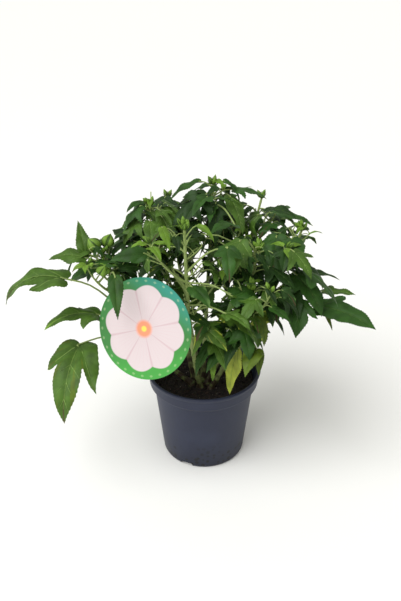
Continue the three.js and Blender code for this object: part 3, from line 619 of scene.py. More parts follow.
CANES = [
    cane("left", (-20, -24), (-152, -15, 376), 0.8, 0.36, 14, 0.8, 180, 675, fat_buds=True, stated=[
        reaching(0.62, 202, 116, 38, 104, -20, 6, 50, 0.4, FAR_LEFT),
        reaching(0.93, 172, 34, 26, 50, -60, 58, 20, 0, dict(colour=FRESH, blade=57)),
        reaching(0.9, 192, 40, 38, 56, 4, 6, 30, 0, LEFT_SMALL),
        reaching(0.86, 284, 68, 18, 74, -6, -24, 42, 0, BEFORE_LABEL),
        reaching(0.5, 202, 74, 36, 84, -10, 4, 40, 0.55, LEFT_MIDDLE),
        reaching(0.4, 197, 106, 6, 140, 48, -48, 44, 0.5, HANGING_LEFT),
        reaching(0.76, 145, 55, 35, 50, 25, -20, 30, 0.4, dict(colour=DEEP, roll=-35, narrow=1.1)),
        reaching(0.89, 220, 30, 30, 42, 5, 20, 55, 0.4, dict(colour=MID)),
    ]),
    cane("front", (-6, -32), (-28, -60, 438), 0.9, 0.35, 16, 0.8, 160, 51, stated=[
        reaching(0.7, 184, 88, 48, 52, 8, 8, 30, 0, dict(BROAD_MID, roll=-35)),
        reaching(0.8, 335, 82, 40, 56, -60, -14, 50, 0.5),
        reaching(0.97, 240, 24, 14, 28, 42, -16, 40, 0),
        reaching(0.72, 200, 80, 45, 34, 20, -55, 85, 0, dict(colour=FRESH, fold=0.1)),
        reaching(0.63, 335, 60, 0, 74, -10, 10, 85, 0.4, dict(BROAD_FRESH, narrow=1, streaks=0.1)),
        reaching(0.75, 335, 75, -5, 56, -10, 25, 75, 0.4, dict(colour=MID, roll=20)),
        reaching(0.43, 315, 50, 15, 52, -15, 0, 85, 0.5, dict(colour=FRESH)),
        reaching(0.38, 315, 45, 0, 46, -45, -40, 75, 0, dict(colour=YOUNG, narrow=0.45)),
        reaching(0.92, 225, 60, 45, 40, 65, -20, 25, 0, dict(colour=YOUNG, narrow=0.8)),
        reaching(0.95, 325, 35, 50, 38, -10, 0, 55, 0, dict(colour=YOUNG, narrow=0.8)),
        reaching(0.59, 310, 40, 0, 44, -60, 15, 50, 0, dict(colour=DEEP)),
        reaching(0.71, 280, 50, 35, 46, 30, 5, 60, 0, dict(BROAD_MID, narrow=1.25)),
        reaching(0.54, 280, 30, 50, 44, 40, -5, 20, 0, dict(colour=DEEP)),
        reaching(0.73, 340, 70, 0, 42, -15, 10, 55, 0.4, dict(colour=FRESH)),
        reaching(0.58, 310, 90, 25, 52, 5, 25, 70, 0.45, dict(colour=FRESH)),
    ]),
    cane("upper_left", (-16, -10), (-84, 50, 430), 0.5, 0.5, 20, 0.95, 60, 789, stated=[
        reaching(0.92, 218, 34, 50, 54, -8, -22, 60, 0.5),
        reaching(0.74, 185, 60, 35, 46, 60, 25, 35, 0.5, dict(colour=DEEP, fold=0.1)),
        reaching(0.67, 180, 55, 50, 48, -65, 30, 30, 0.4, dict(colour=MID, fold=0.1, roll=-30)),
        reaching(0.68, 195, 70, 40, 46, 35, 5, 50, 0.4, dict(colour=DEEP)),
        reaching(0.71, 255, 50, 15, 44, -15, 15, 70, 0.4, dict(colour=DEEP)),
        reaching(0.95, 195, 25, 55, 36, 30, 15, 65, 0, dict(colour=MID)),
        reaching(0.7, 180, 60, 30, 46, -45, 30, 45, 0.4, dict(colour=DEEP, narrow=1.1)),
    ]),
    cane("top", (-2, -12), (14, 58, 462), 0.5, 0.5, 24, 1, 60, 265, stated=[
        reaching(0.97, 183, 22, 30, 58, 20, 0, 40, 0, dict(colour=MID, droop=50, narrow=0.72)),
        reaching(0.93, 3, 36, 22, 54, -20, 12, 45, 0.6, dict(colour=MID, lift=-3)),
        reaching(0.9, 295, 75, -5, 58, -65, 30, 55, 0.4, dict(colour=MID)),
        reaching(0.85, 255, 45, 55, 50, -15, 5, 50, 0.4, dict(colour=MID)),
        reaching(0.81, 220, 40, 60, 58, -50, -30, 25, 0.5, dict(colour=DEEP)),
        reaching(0.97, 0, 25, 50, 40, -25, -10, 55, 0, dict(colour=MID, lift=-8, blade=46, droop=80)),
    ]),
    cane("right", (19, -16), (150, 18, 402), 0.6, 0.42, 20, 0.95, 240, 847, stated=[
        reaching(0.7, 349, 48, 24, 54, 0, 8, 35, 0),
        reaching(0.6, 353, 84, 11, 52, 0, 12, 30, 0.4),
        reaching(0.56, 330, 90, 16, 96, -2, 10, 35, 0.5, FAR_RIGHT),
        reaching(0.5, 312, 92, 32, 66, -56, -28, 50, 0.6, RIGHT_LOW),
        reaching(0.86, 215, 50, 50, 74, 45, -30, 35, 0.5, BROADER_MID),
        reaching(0.67, 255, 55, 20, 70, 40, 0, 35, 0.45, BROAD_DEEP),
        reaching(0.96, 300, 25, 25, 22, 50, 50, 80, 0, dict(colour=YOUNG)),
        reaching(0.88, 185, 25, 55, 84, 60, 5, 85, 0.4, BROADER_MID),
        reaching(0.94, 245, 35, 25, 60, 30, 5, 70, 0, dict(BROAD_MID, narrow=1.2)),
        reaching(0.42, 325, 45, 35, 34, -5, -35, 35, 0, dict(colour=DEEP, narrow=0.6)),
        reaching(0.92, 175, 40, 25, 40, 55, 35, 35, 0.4, dict(colour=MID)),
        reaching(0.53, 0, 100, -5, 32, -65, -30, 25, 0, dict(colour=OLIVE, narrow=0.5)),
    ]),
    cane("back_right", (11, -4), (96, 122, 415), 0.55, 0.5, 18, 1, 280, 89, stated=[
        reaching(0.93, 320, 24, 10, 74, 30, 6, 40, 0.6, dict(lift=-6)),
        reaching(0.88, 280, 55, 30, 58, 55, 40, 85, 0.4, dict(colour=DEEP)),
        reaching(0.74, 305, 75, 45, 44, -70, 5, 55, 0.4, dict(colour=MID)),
    ]),
    cane("back_left", (-7, 2), (-62, 150, 405), 0.55, 0.5, 20, 1, 140, 875),
    cane("inner_right", (6, -22), (82, -22, 388), 0.6, 0.42, 20, 1, 220, 527, stated=[
        reaching(0.96, 235, 65, 40, 62, 10, -25, 30, 0.5, BROAD_FRESH),
        reaching(0.62, 250, 70, 55, 60, 60, 10, 50, 0.4, BROAD_MID),
        reaching(0.95, 175, 95, 20, 46, -55, -50, 55, 0.4, BROAD_DEEP),
        reaching(0.88, 155, 100, 20, 48, -35, -40, 70, 0.4, BROAD_MID),
        reaching(0.69, 165, 55, 15, 46, -45, -55, 80, 0.4, BROAD_DEEP),
        reaching(0.78, 140, 95, 40, 48, 35, -50, 30, 0.4, BROAD_MID),
    ]),
    cane("low_right", (12, -34), (70, -70, 345), 0.7, 0.45, 12, 0.7, 300, 83, stated=[
        reaching(0.39, 296, 34, 46, 82, -80, -68, 25, 0, LOW_YELLOW),
        reaching(0.5, 345, 40, -5, 66, -80, -46, 30, 0, LOW_OLIVE),
        reaching(0.7, 4, 32, 36, 60, -74, -42, 50, 0.4, LOW_STREAKED),
        reaching(0.66, 300, 45, -15, 54, -55, 10, 75, 0, dict(colour=OLIVE, narrow=1.25, fold=0.1)),
    ]),
]
print(len(CANES), "canes with", sum(len(grown.stated) for grown in CANES), "stated leaves")

# %% Lines that canes and twigs follow
CANE_FOOT = 143.3
TWIG_LENGTH = 84
TWIG_MIDDLE = (0.4, 0.25)
TWIG_END = (0.6, 0.75)


def bend(start, middle, end):
    """A quadratic Bezier curve as a function of the share along it."""
    start, middle, end = (np.asarray(place, float) for place in (start, middle, end))

    def place_at(share):
        t = np.asarray(share, float)[..., None]
        return (1 - t) ** 2 * start + 2 * t * (1 - t) * middle + t * t * end

    return place_at


def cane_line(grown):
    """The line of a cane from the soil to its tip. It bows out first and lifts later, or the
    other way round, by the shares of the way that its middle corner has gone."""
    foot = np.array((*grown.foot, CANE_FOOT), float)
    tip = np.array(grown.tip, float)
    share = np.array((grown.bow, grown.bow, grown.lift))
    return bend(foot, foot + (tip - foot) * share, tip)


def twig_line(line, at, toward):
    """A twig leaves its cane sideways and turns upward."""
    root = line(at)
    middle = root + heading(toward, *TWIG_MIDDLE) * TWIG_LENGTH
    return bend(root, middle, root + heading(toward, *TWIG_END) * TWIG_LENGTH)


for grown in CANES:
    steps = np.diff(cane_line(grown)(np.linspace(0, 1, 40)), axis=0)
    print(f"{grown.name}: {np.linalg.norm(steps, axis=1).sum():.0f} mm long")

# %% The rule for leaves and buds
GOLDEN_TURN = 137.5
LEAFY_PART = (0.4, 0.97)
LOBED_LEAVES = 0.72
STALK_LENGTH = (74, 26)
BLADE_LENGTH = (112, 52)
BLADE_CUP = 0.7
BUDS_PER_TIP = 3
BUD_START = 0.985


def bud_kind(length, radius, stalk, lean, drawn, sides=20, rows=12, ribs=0.18, furrow=-0.35, ruff=0.8):
    """A kind of bud: its size in the solid, the share of it that is drawn, its calyx's form, and how deep
    in its furrows painted shade starts.
    """
    return SimpleNamespace(**locals())


BUD = bud_kind(24, 6, 7, 0.55, drawn=0.6)
SEED_POD = bud_kind(24, 11.5, 16, 0.9, drawn=0.9, sides=40, rows=20, ribs=0.36, furrow=-0.2, ruff=0.5)
SMALL_BUD = bud_kind(11, 3, 6, 0.8, drawn=1)


def numbers_from(seed):
    """A seeded row of numbers, the same on every machine (a linear congruential generator)."""
    multiplier = 1664525
    step = 1013904223
    modulus = 2**32
    state = seed

    def draw(low=0.0, high=1.0):
        nonlocal state
        state = (state * multiplier + step) % modulus
        return low + (high - low) * (state / modulus)

    return draw


def leaf_on(line, held, turn=0):
    """A leaf's full record from the line that it grows on and how it is held."""
    leaf = SimpleNamespace(**held)
    leaf.toward += turn
    leaf.root = line(leaf.at)
    away = heading(leaf.toward, up=math.tan(math.radians(leaf.rise)))
    leaf.base = leaf.root + unit(away) * leaf.stalk
    leaf.heading = leaf.toward + held["turn"]
    return leaf


def blade_points(leaf, along, out, above=0.0):
    """Points of a blade: along its midrib, out from it, and above it. The midrib bends down evenly."""
    along, out, above = np.broadcast_arrays(along, out, above)
    bending = math.radians(leaf.droop) / leaf.blade
    start = math.radians(leaf.pitch)
    slope = start - bending * along
    run = (math.sin(start) - np.sin(slope)) / bending
    rise = (np.cos(slope) - math.cos(start)) / bending
    forward = heading(leaf.heading)
    left = heading(leaf.heading + 90)
    normal = -np.sin(slope)[..., None] * forward + np.cos(slope)[..., None] * [0, 0, 1]
    roll = math.radians(leaf.roll)
    side = left * math.cos(roll) + normal * math.sin(roll)
    face = normal * math.cos(roll) - left * math.sin(roll)
    lifted = above - BLADE_CUP * out * out / leaf.blade
    on_midrib = leaf.base + run[..., None] * forward + rise[..., None] * [0, 0, 1]
    return on_midrib + out[..., None] * side + lifted[..., None] * face


def spiral_of_leaves(grown, count, youth, draw):
    """How the leaves round a line are held, from the start of its leafy part to its tip."""
    row = []
    for k in range(count):
        age = k / (count - 1)
        young = between(youth, age)
        row.append(dict(
            at=between(LEAFY_PART, age),
            toward=grown.spiral + k * GOLDEN_TURN + draw(-15, 15),
            stalk=grown.size * between(STALK_LENGTH, young) * draw(0.85, 1.15),
            rise=draw(12, 38),
            blade=grown.size * between(BLADE_LENGTH, young) * draw(0.85, 1.15),
            turn=draw(-20, 20),
            pitch=draw(-2, -26),
            droop=draw(34, 68),
            lobes=draw(0.45, 0.75) if draw() < LOBED_LEAVES else 0,
            roll=draw(-18, 18),
            young=young,
        ))
    return row


def bud_places(grown, line):
    """Each bud round a cane's tip: its kind, where it starts, and its direction."""
    kind = SEED_POD if grown.fat_buds else BUD
    for k in range(BUDS_PER_TIP):
        direction = unit(heading(grown.spiral + k * 360 / BUDS_PER_TIP, kind.lean, 1))
        yield kind, line(BUD_START) + direction * kind.stalk, direction


# %% [markdown]
# The rule gives each leaf several turns to try round its cane, and the solid plant took the first
# that had room. Its solids say which one that was: a leaf stands where the solid has a corner at
# the leaf's tip. So the leaves here grow exactly where the solid ones are, and no list of places
# has to be carried over.

# %% Grow the shrub
TWIG_PLACES = (0.45, 0.6, 0.75)
TWIG_FIRST_TURN = 70
TWIG_TURN = 150
TWIG_LEAVES = 4
TURNS_FOR_ROOM = (0, 35, -35, 70, -70, 110, -110, 150, -150, 180)
SAME_PLACE = 0.15
TWIG_END_REACH = 1.3


class Corners:
    """The corners of a solid of the frame, in millimetres, for asking if one is near a place."""

    def __init__(self, node):
        places = [vertex.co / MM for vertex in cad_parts[node].data.vertices]
        self.tree = KDTree(len(places))
        for k, place in enumerate(places):
            self.tree.insert(place, k)
        self.tree.balance()

    def near(self, place, reach):
        return self.tree.find(Vector(place))[2] < reach


def grow(grown):
    """Everything that grows on one cane: its lines, its leaves and its buds."""
    line = cane_line(grown)
    corners = Corners("foliage_" + grown.name)
    draw = numbers_from(grown.seed)
    made = SimpleNamespace(cane=grown, line=line, corners=corners, twigs=[], shoots=[], leaves=[], tufts=[])

    def stand(on, held):
        for turn in TURNS_FOR_ROOM:
            leaf = leaf_on(on, held, turn)
            if corners.near(blade_points(leaf, leaf.blade, 0), SAME_PLACE):
                made.leaves.append(leaf)
                return

    for held in grown.stated:
        made.leaves.append(leaf_on(line, dict(held, young=0.5)))
    for k, at in enumerate(TWIG_PLACES):
        toward = grown.spiral + TWIG_FIRST_TURN + k * TWIG_TURN + draw(0, 40)
        row = spiral_of_leaves(grown, TWIG_LEAVES, (0.5, 1), draw)
        bent = [twig_line(line, at, toward + turn) for turn in TURNS_FOR_ROOM]
        bent = [twig for twig in bent if corners.near(twig(1), TWIG_END_REACH)]
        if bent:
            made.twigs.append(bent[0])
            for held in row:
                stand(bent[0], held)
    for held in spiral_of_leaves(grown, grown.leaves, (0, 1), draw):
        stand(line, held)
    buds = bud_places(grown, line)
    made.buds = [bud for bud in buds if corners.near(bud[1] + bud[2] * bud[0].length, SAME_PLACE)]
    print(f"{grown.name}: {len(made.leaves)} leaves, {len(made.twigs)} twigs, {len(made.buds)} buds")
    return made


SHRUB = [grow(grown) for grown in CANES]

# %% [markdown]
# ## Finer growth
# A real crown has many more leaves than its solid has. Short side shoots with small leaves, and tufts
# of young leaves at the tips, are grown by the same golden angle. Each keeps near the solid's own
# leaves and skips places where a leaf already is.
#
# A dense rule also closes what gives a crown its character: the sky between its tips, the label's
# face, and the young stem in front with its long bare stalks. So the rule's leaves and these finer
# ones are kept off those. What the photo shows of the crown's outline is given in its own pixels,
# read off: how high and how low leaves reach, and five small gaps. A leaf is asked where it
# appears in the picture, and one that crosses the outline or closes a gap isn't grown.

# %% The label's place
LABEL_RADIUS = 76
LABEL_CENTRE = np.array((-88, -90, 289))
LABEL_LEAN_BACK = math.radians(20)
LABEL_TURN_LEFT = math.radians(25)
LABEL_POSE = Matrix.Rotation(-LABEL_TURN_LEFT, 3, "Z") @ Matrix.Rotation(-LABEL_LEAN_BACK, 3, "X")
LABEL_MARGIN = 3
FREE_BEHIND_LABEL = 5
FREE_BEFORE_LABEL = 150


def clear_of_label(places):
    """Whether places are neither in the picture label nor close before its face."""
    flat = (places - LABEL_CENTRE) @ np.array(LABEL_POSE)
    beside = np.hypot(flat[:, 0], flat[:, 2]) > LABEL_RADIUS + LABEL_MARGIN
    return np.all(beside | (flat[:, 1] > FREE_BEHIND_LABEL) | (flat[:, 1] < -FREE_BEFORE_LABEL))


# %% The crown's outline in the picture
SKYLINE = (
    (60, 262), (74, 248), (76, 218), (84, 220), (88, 238), (112, 234), (124, 226), (127, 203), (135, 197),
    (150, 200), (166, 202), (186, 194), (200, 184), (206, 180), (228, 180), (236, 188), (241, 204),
    (249, 209), (258, 207), (268, 208), (276, 210), (290, 213), (300, 214), (306, 222), (310, 236),
    (312, 264), (330, 274), (345, 282), (376, 300),
)
UNDERLINE = (
    (50, 280), (95, 283), (110, 281), (114, 420), (250, 420), (256, 378), (262, 352), (268, 344),
    (272, 326), (280, 334), (286, 340), (292, 324), (300, 335), (308, 325), (316, 318), (340, 322),
    (376, 328),
)
SKY_GAPS = ((199, 266, 3), (203, 279, 3), (224, 291, 4), (213, 321, 3), (264, 245, 3))  # x, y, radius
OVER_SKYLINE = 1
UNDER_UNDERLINE = 2


def in_picture(places):
    """Where places appear in the picture, in its pixels from the top left corner."""
    offset = np.atleast_2d(places) * MM - np.array(camera.location)
    upward = np.array((0, math.sin(LOOKS_DOWN), math.cos(LOOKS_DOWN)))
    depth = offset @ -np.array(TO_CAMERA)
    across = PHOTO_WIDTH / 2 + FOCAL_PIXELS * offset[:, 0] / depth
    down = PHOTO_HEIGHT / 2 - FOCAL_PIXELS * (offset @ upward) / depth
    return across, down


def in_outline(places):
    """Whether places lie in the crown's outline, as the photo shows it, and in none of its gaps."""
    across, down = in_picture(places)
    under_sky = np.all(down > np.interp(across, *zip(*SKYLINE)) - OVER_SKYLINE)
    high_enough = np.all(down < np.interp(across, *zip(*UNDERLINE)) + UNDER_UNDERLINE)
    gaps_open = all(np.all(np.hypot(across - x, down - y) > reach) for x, y, reach in SKY_GAPS)
    return under_sky and high_enough and gaps_open


print("the label's middle is at pixel", [round(float(p[0])) for p in in_picture(LABEL_CENTRE)])

# %% The front stem and its long stalks
FREE_BESIDE_STEM = 11
FREE_BESIDE_STALK = 3
FREE_STEM_FROM = 0.42
HIDES_BEFORE = 4
LONG_STALK = 60
FRONT = next(grown for grown in CANES if grown.name == "front")


def stops_to_keep_free():
    """Places on the front stem and its long stalks, and how far round each stays in view."""
    line = cane_line(FRONT)
    stops = [(stop, FREE_BESIDE_STEM) for stop in line(np.linspace(FREE_STEM_FROM, 1, 16))]
    for held in FRONT.stated:
        if held["stalk"] > LONG_STALK:
            leaf = leaf_on(line, held)
            along = leaf.root + (leaf.base - leaf.root) * np.linspace(0.1, 0.9, 8)[:, None]
            stops += [(stop, FREE_BESIDE_STALK) for stop in along]
    return stops


STOPS = stops_to_keep_free()
print(len(STOPS), "places are kept in view")


def clear_of_front_cane(places):
    """Whether none of the places stands between the viewer and a place that is kept in view."""
    toward_viewer = np.array(TO_CAMERA)
    for stop, free in STOPS:
        offset = places - stop
        before = offset @ toward_viewer
        aside = np.linalg.norm(offset - np.outer(before, toward_viewer), axis=1)
        if np.any((before > HIDES_BEFORE) & (aside < free)):
            return False
    return True


# %% Room in the crown
CELL = 6.5
LOWEST_LEAF = 185
UNDERSIDE_SLOPE = 1.2
NEAR_SOLID = 24
GRID_ALONG = 7
GRID_ACROSS = (-0.2, -0.1, 0, 0.1, 0.2)


def blade_grid(leaf):
    """A few places spread over a leaf's blade, in rows across it that narrow to its tip."""
    along, out = np.meshgrid(np.linspace(0.2, 0.98, GRID_ALONG), GRID_ACROSS, indexing="ij")
    out = out * (1.15 - along)
    return blade_points(leaf, along.ravel() * leaf.blade, out.ravel() * leaf.blade)


class Crowd:
    """Remembers which small cubes of space hold a leaf already."""

    def __init__(self):
        self.cells = set()

    def cubes_of(self, leaf):
        return {tuple(cube) for cube in np.floor(blade_grid(leaf) / CELL).astype(int)}

    def take(self, leaf):
        self.cells |= self.cubes_of(leaf)

    def has_room(self, leaf):
        return not self.cells & self.cubes_of(leaf)


def in_keeping(places):
    """Whether places hide nothing that has to show, and keep in the crown's outline."""
    return clear_of_label(places) and clear_of_front_cane(places) and in_outline(places)


def keeps_to_crown(leaf, corners):
    """A finer leaf stays near its mass's solid, above the crown's underside and off what is free."""
    places = blade_grid(leaf)
    beyond_lip = np.maximum(0, np.hypot(places[:, 0], places[:, 1]) - POT_LIP_RADIUS)
    low = np.any(places[:, 2] < LOWEST_LEAF + UNDERSIDE_SLOPE * beyond_lip)
    near = all(corners.near(place, NEAR_SOLID) for place in places[:: len(GRID_ACROSS)])
    return near and not low and in_keeping(places)


print("each leaf is felt at", GRID_ALONG * len(GRID_ACROSS), "places of its blade")

# %% Side shoots and tufts
EXTRA_LEAVES = 26
EXTRA_PART = (0.38, 0.97)
EXTRA_BLADE = (92, 46)
EXTRA_STALK = (70, 26)
TWIG_EXTRA_LEAVES = 5
TWIG_EXTRA_BLADE = (58, 36)
SHOOTS = 22
SHOOT_LENGTH = (46, 26)
SHOOT_MIDDLE = (0.45, 0.225)
SHOOT_END = (0.75, 0.675)
SHOOT_LEAVES = 4
SHOOT_BLADE = (50, 34)
SHOOT_AGEING = (1.1, 0.8)
TUFT_LEAVES = 6
TUFT_BLADE = (20, 30)
TUFT_LIFT = 25
TWIG_PART = (0.35, 1)
EXTRA_TURN = 60
SHOOT_TURN = 25
SHOOT_LEAF_TURN = 150


def small_leaf(draw, at, toward, blade, young, lift=0.0):
    """How a small leaf of a side shoot or a tuft is held. lift raises it, as young leaves are."""
    return dict(
        at=at,
        toward=toward + draw(-25, 25),
        stalk=blade * draw(0.3, 0.55),
        rise=draw(10, 50) + lift,
        blade=blade * draw(0.8, 1.2),
        turn=draw(-30, 30),
        pitch=draw(-20, 10) + lift,
        droop=draw(30, 80),
        lobes=draw(0.4, 0.7) if draw() < 0.6 else 0,
        roll=draw(-25, 25),
        young=young,
    )


def grow_more_leaves(made, draw, stand):
    """More leaves along a cane and its twigs."""
    for k in range(EXTRA_LEAVES):
        age = k / (EXTRA_LEAVES - 1)
        toward = made.cane.spiral + EXTRA_TURN + k * GOLDEN_TURN
        held = small_leaf(draw, between(EXTRA_PART, age), toward, 1, age)
        held["blade"] = between(EXTRA_BLADE, age) * draw(0.8, 1.2)
        held["stalk"] = between(EXTRA_STALK, age) * draw(0.7, 1.3)
        stand(made.line, held, made.leaves)
    for twig in made.twigs:
        for k in range(TWIG_EXTRA_LEAVES):
            age = k / (TWIG_EXTRA_LEAVES - 1)
            blade = between(TWIG_EXTRA_BLADE, age)
            held = small_leaf(draw, between(TWIG_PART, age), draw(0, 360), blade, age)
            stand(twig, held, made.leaves)


def grow_side_shoots(made, draw, stand):
    """Short shoots with small leaves. A shoot that finds no room for a leaf isn't kept."""
    for k in range(SHOOTS):
        age = k / (SHOOTS - 1)
        root = made.line(between(LEAFY_PART, age))
        toward = made.cane.spiral + SHOOT_TURN + k * GOLDEN_TURN
        long = between(SHOOT_LENGTH, age) * draw(0.7, 1.3)
        middle = root + heading(toward, *SHOOT_MIDDLE) * long
        shoot = bend(root, middle, root + heading(toward, *SHOOT_END) * long)
        grown = []
        for j in range(SHOOT_LEAVES):
            share = (j + 1) / SHOOT_LEAVES
            blade = between(SHOOT_BLADE, share) * between(SHOOT_AGEING, age)
            held = small_leaf(draw, share, toward + j * SHOOT_LEAF_TURN, blade, 0.4 + 0.4 * age)
            stand(shoot, held, grown)
        if grown:
            made.leaves += grown
            made.shoots.append(shoot)


def grow_tufts(made, draw, stand):
    """Tufts of young leaves without lobes, at the tips of a cane and its twigs."""
    for line in (made.line, *made.twigs):
        for k in range(TUFT_LEAVES):
            held = small_leaf(draw, BUD_START, k * GOLDEN_TURN, draw(*TUFT_BLADE), 1, TUFT_LIFT)
            held["lobes"] = 0
            stand(line, held, made.tufts)


# %% Grow what is too fine for the solids
def grow_finer(made, crowd):
    """Adds finer leaves to a mass, each only where it keeps to the crown and finds room."""
    draw = numbers_from(made.cane.seed + 7)

    def stand(on, held, into):
        leaf = leaf_on(on, held)
        if keeps_to_crown(leaf, made.corners) and crowd.has_room(leaf):
            crowd.take(leaf)
            into.append(leaf)

    for grow_kind in (grow_more_leaves, grow_side_shoots, grow_tufts):
        grow_kind(made, draw, stand)


def trimmed(made):
    """A mass's leaves: the stated ones, and those of the rule's that hide nothing and keep in."""
    stated = len(made.cane.stated)
    return made.leaves[:stated] + [leaf for leaf in made.leaves[stated:] if in_keeping(blade_grid(leaf))]


crowd = Crowd()
for made in SHRUB:
    made.leaves = trimmed(made)
    for leaf in made.leaves:
        crowd.take(leaf)
for made in SHRUB:
    grow_finer(made, crowd)
print("leaves in all:", sum(len(made.leaves) + len(made.tufts) for made in SHRUB))

# %% [markdown]
# ## Leaves
# A leaf could be a flat card with a picture of a leaf on it. Here its lobes, teeth and ribs have to
# hold up close, so each is a thin closed shell of its own: a fan of rings from the stalk's end out
# to a toothed edge. Its ribs are fine cords that stand a little proud. Its top is a soft satin
# green and its underside is paler and more matt, which is what tells the two apart where a leaf
# turns over. Old leaves low in the crown are dark, and young ones at the tips fresh and bright.

# %% Leaf materials
LEAF_IOR = 1.36
LEAF_CLOUD_MM = 17
LEAF_GRAIN_MM = 2.2  # a leaf's cells are far finer, and are drawn this coarse to show at all
LEAF_COLOURS = {
    "leaf_deep_green": ("#213d13", 0.52),
    "leaf_mid_green": ("#2d5119", 0.52),
    "leaf_fresh_green": ("#456420", 0.52),
    "leaf_young_green": ("#628526", 0.52),
    "leaf_olive": ("#50641a", 0.54),
    "leaf_yellowing": ("#9ba73f", 0.56),
    "leaf_dried_brown": ("#4c3f2a", 0.7),
    "leaf_underside": ("#547438", 0.68),
    "leaf_rib": ("#456228", 0.55),
    "leaf_pale_rib": ("#76924a", 0.55),
}


def living_leaf(node, place, hex_colour, roughness, grain_mm=LEAF_GRAIN_MM, relief=0.3):
    """Soft clouds of lighter and darker green keep it from looking like painted card, and a fine
    relief breaks up its shine, as the waxy skin of a leaf does."""
    clouds = node("TexNoise", {"Vector": place, "Scale": per_metre(LEAF_CLOUD_MM), "Detail": 3})
    light = {"Value": clouds, "From Min": 0.3, "From Max": 0.7, "To Min": 0.65, "To Max": 1.25}
    value = node("MapRange", light)
    grain = node("TexNoise", {"Vector": place, "Scale": per_metre(grain_mm), "Detail": 3})
    return {
        "Base Color": node("HueSaturation", {"Color": linear(hex_colour), "Value": value}),
        "Roughness": roughness,
        "IOR": LEAF_IOR,
        "Specular IOR Level": 0.4,
        "Normal": node("Bump", {"Height": grain, "Strength": relief, "Distance": 0.0006}),
    }


LEAF_MATERIALS = [material(name, living_leaf, *look) for name, look in LEAF_COLOURS.items()]

# %% The outline of a blade
TEETH_DEPTH = 0.022
WHOLE_BLADE = np.array([
    (-0.03, 0.03), (-0.04, 0.1), (0.03, 0.18), (0.18, 0.23), (0.38, 0.22), (0.6, 0.155), (0.8, 0.08),
    (0.92, 0.03), (1, 0),
])
SIDE_LOBE_BACK = ((-0.035, 0.02), (-0.06, 0.1), (-0.02, 0.185), (0.07, 0.235))
MIDDLE_LOBE = np.array([(0.45, 0.19), (0.58, 0.185), (0.73, 0.13), (0.88, 0.055), (1, 0)])
NOTCH = np.array((0.34, 0.17))
POINTS_PER_RUN = SimpleNamespace(whole=26, side_lobe=14, middle_lobe=20)
TOOTH_MIDDLE = 0.4
TOOTH_UNEVEN = (0.3, 1.3)
TOOTH_LEANS_AHEAD = 0.3
leaf_random = np.random.default_rng(5)


def evenly_along(line, count):
    """count points spaced evenly along a line, both its ends among them."""
    gone = np.concatenate([[0], np.cumsum(np.linalg.norm(np.diff(line, axis=0), axis=1))])
    stops = np.linspace(0, gone[-1], count)
    return np.stack([np.interp(stops, gone, line[:, k]) for k in range(line.shape[1])], -1)


def toothed(run, count, teeth, deep):
    """A run of the outline as count points, with small teeth of uneven size that point ahead."""
    line = evenly_along(curve_through(run, 60), count)
    ahead = np.gradient(line, axis=0)
    ahead /= np.linalg.norm(ahead, axis=1)[:, None]
    outward = np.stack([-ahead[:, 1], ahead[:, 0]], -1)
    k = np.arange(count)
    uneven = leaf_random.uniform(*TOOTH_UNEVEN, count // teeth + 1)[k // teeth]
    saw = ((k % teeth) / (teeth - 1) - TOOTH_MIDDLE) * uneven
    fades_at_ends = np.sin(np.linspace(0, math.pi, count)) ** 0.4
    depth = deep * saw * fades_at_ends
    return line + depth[:, None] * (outward + ahead * TOOTH_LEANS_AHEAD)


def half_outline(lobes, form, fine, deep):
    """Half of a blade's outline, from beside its stalk to its tip, as shares of its length."""
    teeth = 3 if fine > 1 else 2
    width = np.array((1, form.narrow))
    if not lobes:
        return toothed(WHOLE_BLADE * width, POINTS_PER_RUN.whole * fine, teeth, deep)
    tip = heading(form.spread)[:2] * lobes
    notch = NOTCH * width
    outer = (tip + (0.03, 0.22)) / 2 + (-0.02, 0.02)
    inner = (tip + notch) / 2 + (0.025, 0.005)
    side_lobe = [*SIDE_LOBE_BACK, outer, tip]
    middle_lobe = [tip, inner, notch, *(MIDDLE_LOBE * width)]
    side_lobe = toothed(side_lobe, POINTS_PER_RUN.side_lobe * fine, teeth, deep)
    middle_lobe = toothed(middle_lobe, POINTS_PER_RUN.middle_lobe * fine, teeth, deep)
    return np.concatenate([side_lobe, middle_lobe[1:]])


print("a whole blade is", round(2 * WHOLE_BLADE[:, 1].max(), 2), "times as wide as long")

# %% One leaf's own form
GROOVE_DEPTH = 0.012
GROOVE_WIDTH = 0.035
SIDE_GROOVE = 0.7
WAVES = 13
WAVE_STEEPNESS = 3
FOLD_SOFTNESS = 0.0009
FOLD_FADES = 0.4
PLAIN_RIB_ANGLE = 34


def leaf_form():
    """How one leaf differs from the next: its wave, twist, fold along the midrib and width."""
    draw = leaf_random.uniform
    return SimpleNamespace(
        phase=draw(0, 6.28),
        wave=draw(0.02, 0.07),
        twist=draw(-0.35, 0.35),
        fold=draw(-0.05, 0.4),
        narrow=draw(0.72, 1.02),
        spread=draw(42, 56),
        hands=(draw(0.85, 1.15), draw(0.85, 1.15)),
    )


def blade_lift(x, y, lobed, form):
    """How the blade stands off its even curve, as a share of its length."""
    away = np.abs(y)
    rib_angle = math.radians(form.spread if lobed else PLAIN_RIB_ANGLE)
    aside = np.abs(x * math.sin(rib_angle) - away * math.cos(rib_angle))
    grooves = np.exp(-((away / GROOVE_WIDTH) ** 2))
    grooves = grooves + SIDE_GROOVE * np.exp(-((aside / GROOVE_WIDTH) ** 2))
    waves = np.sin(WAVES * x + form.phase + 2 * np.sign(y)) * away * WAVE_STEEPNESS
    folded = form.fold * np.sqrt(away * away + FOLD_SOFTNESS) * (1 - FOLD_FADES * x)
    return -GROOVE_DEPTH * grooves + form.wave * waves + form.twist * x * y + folded


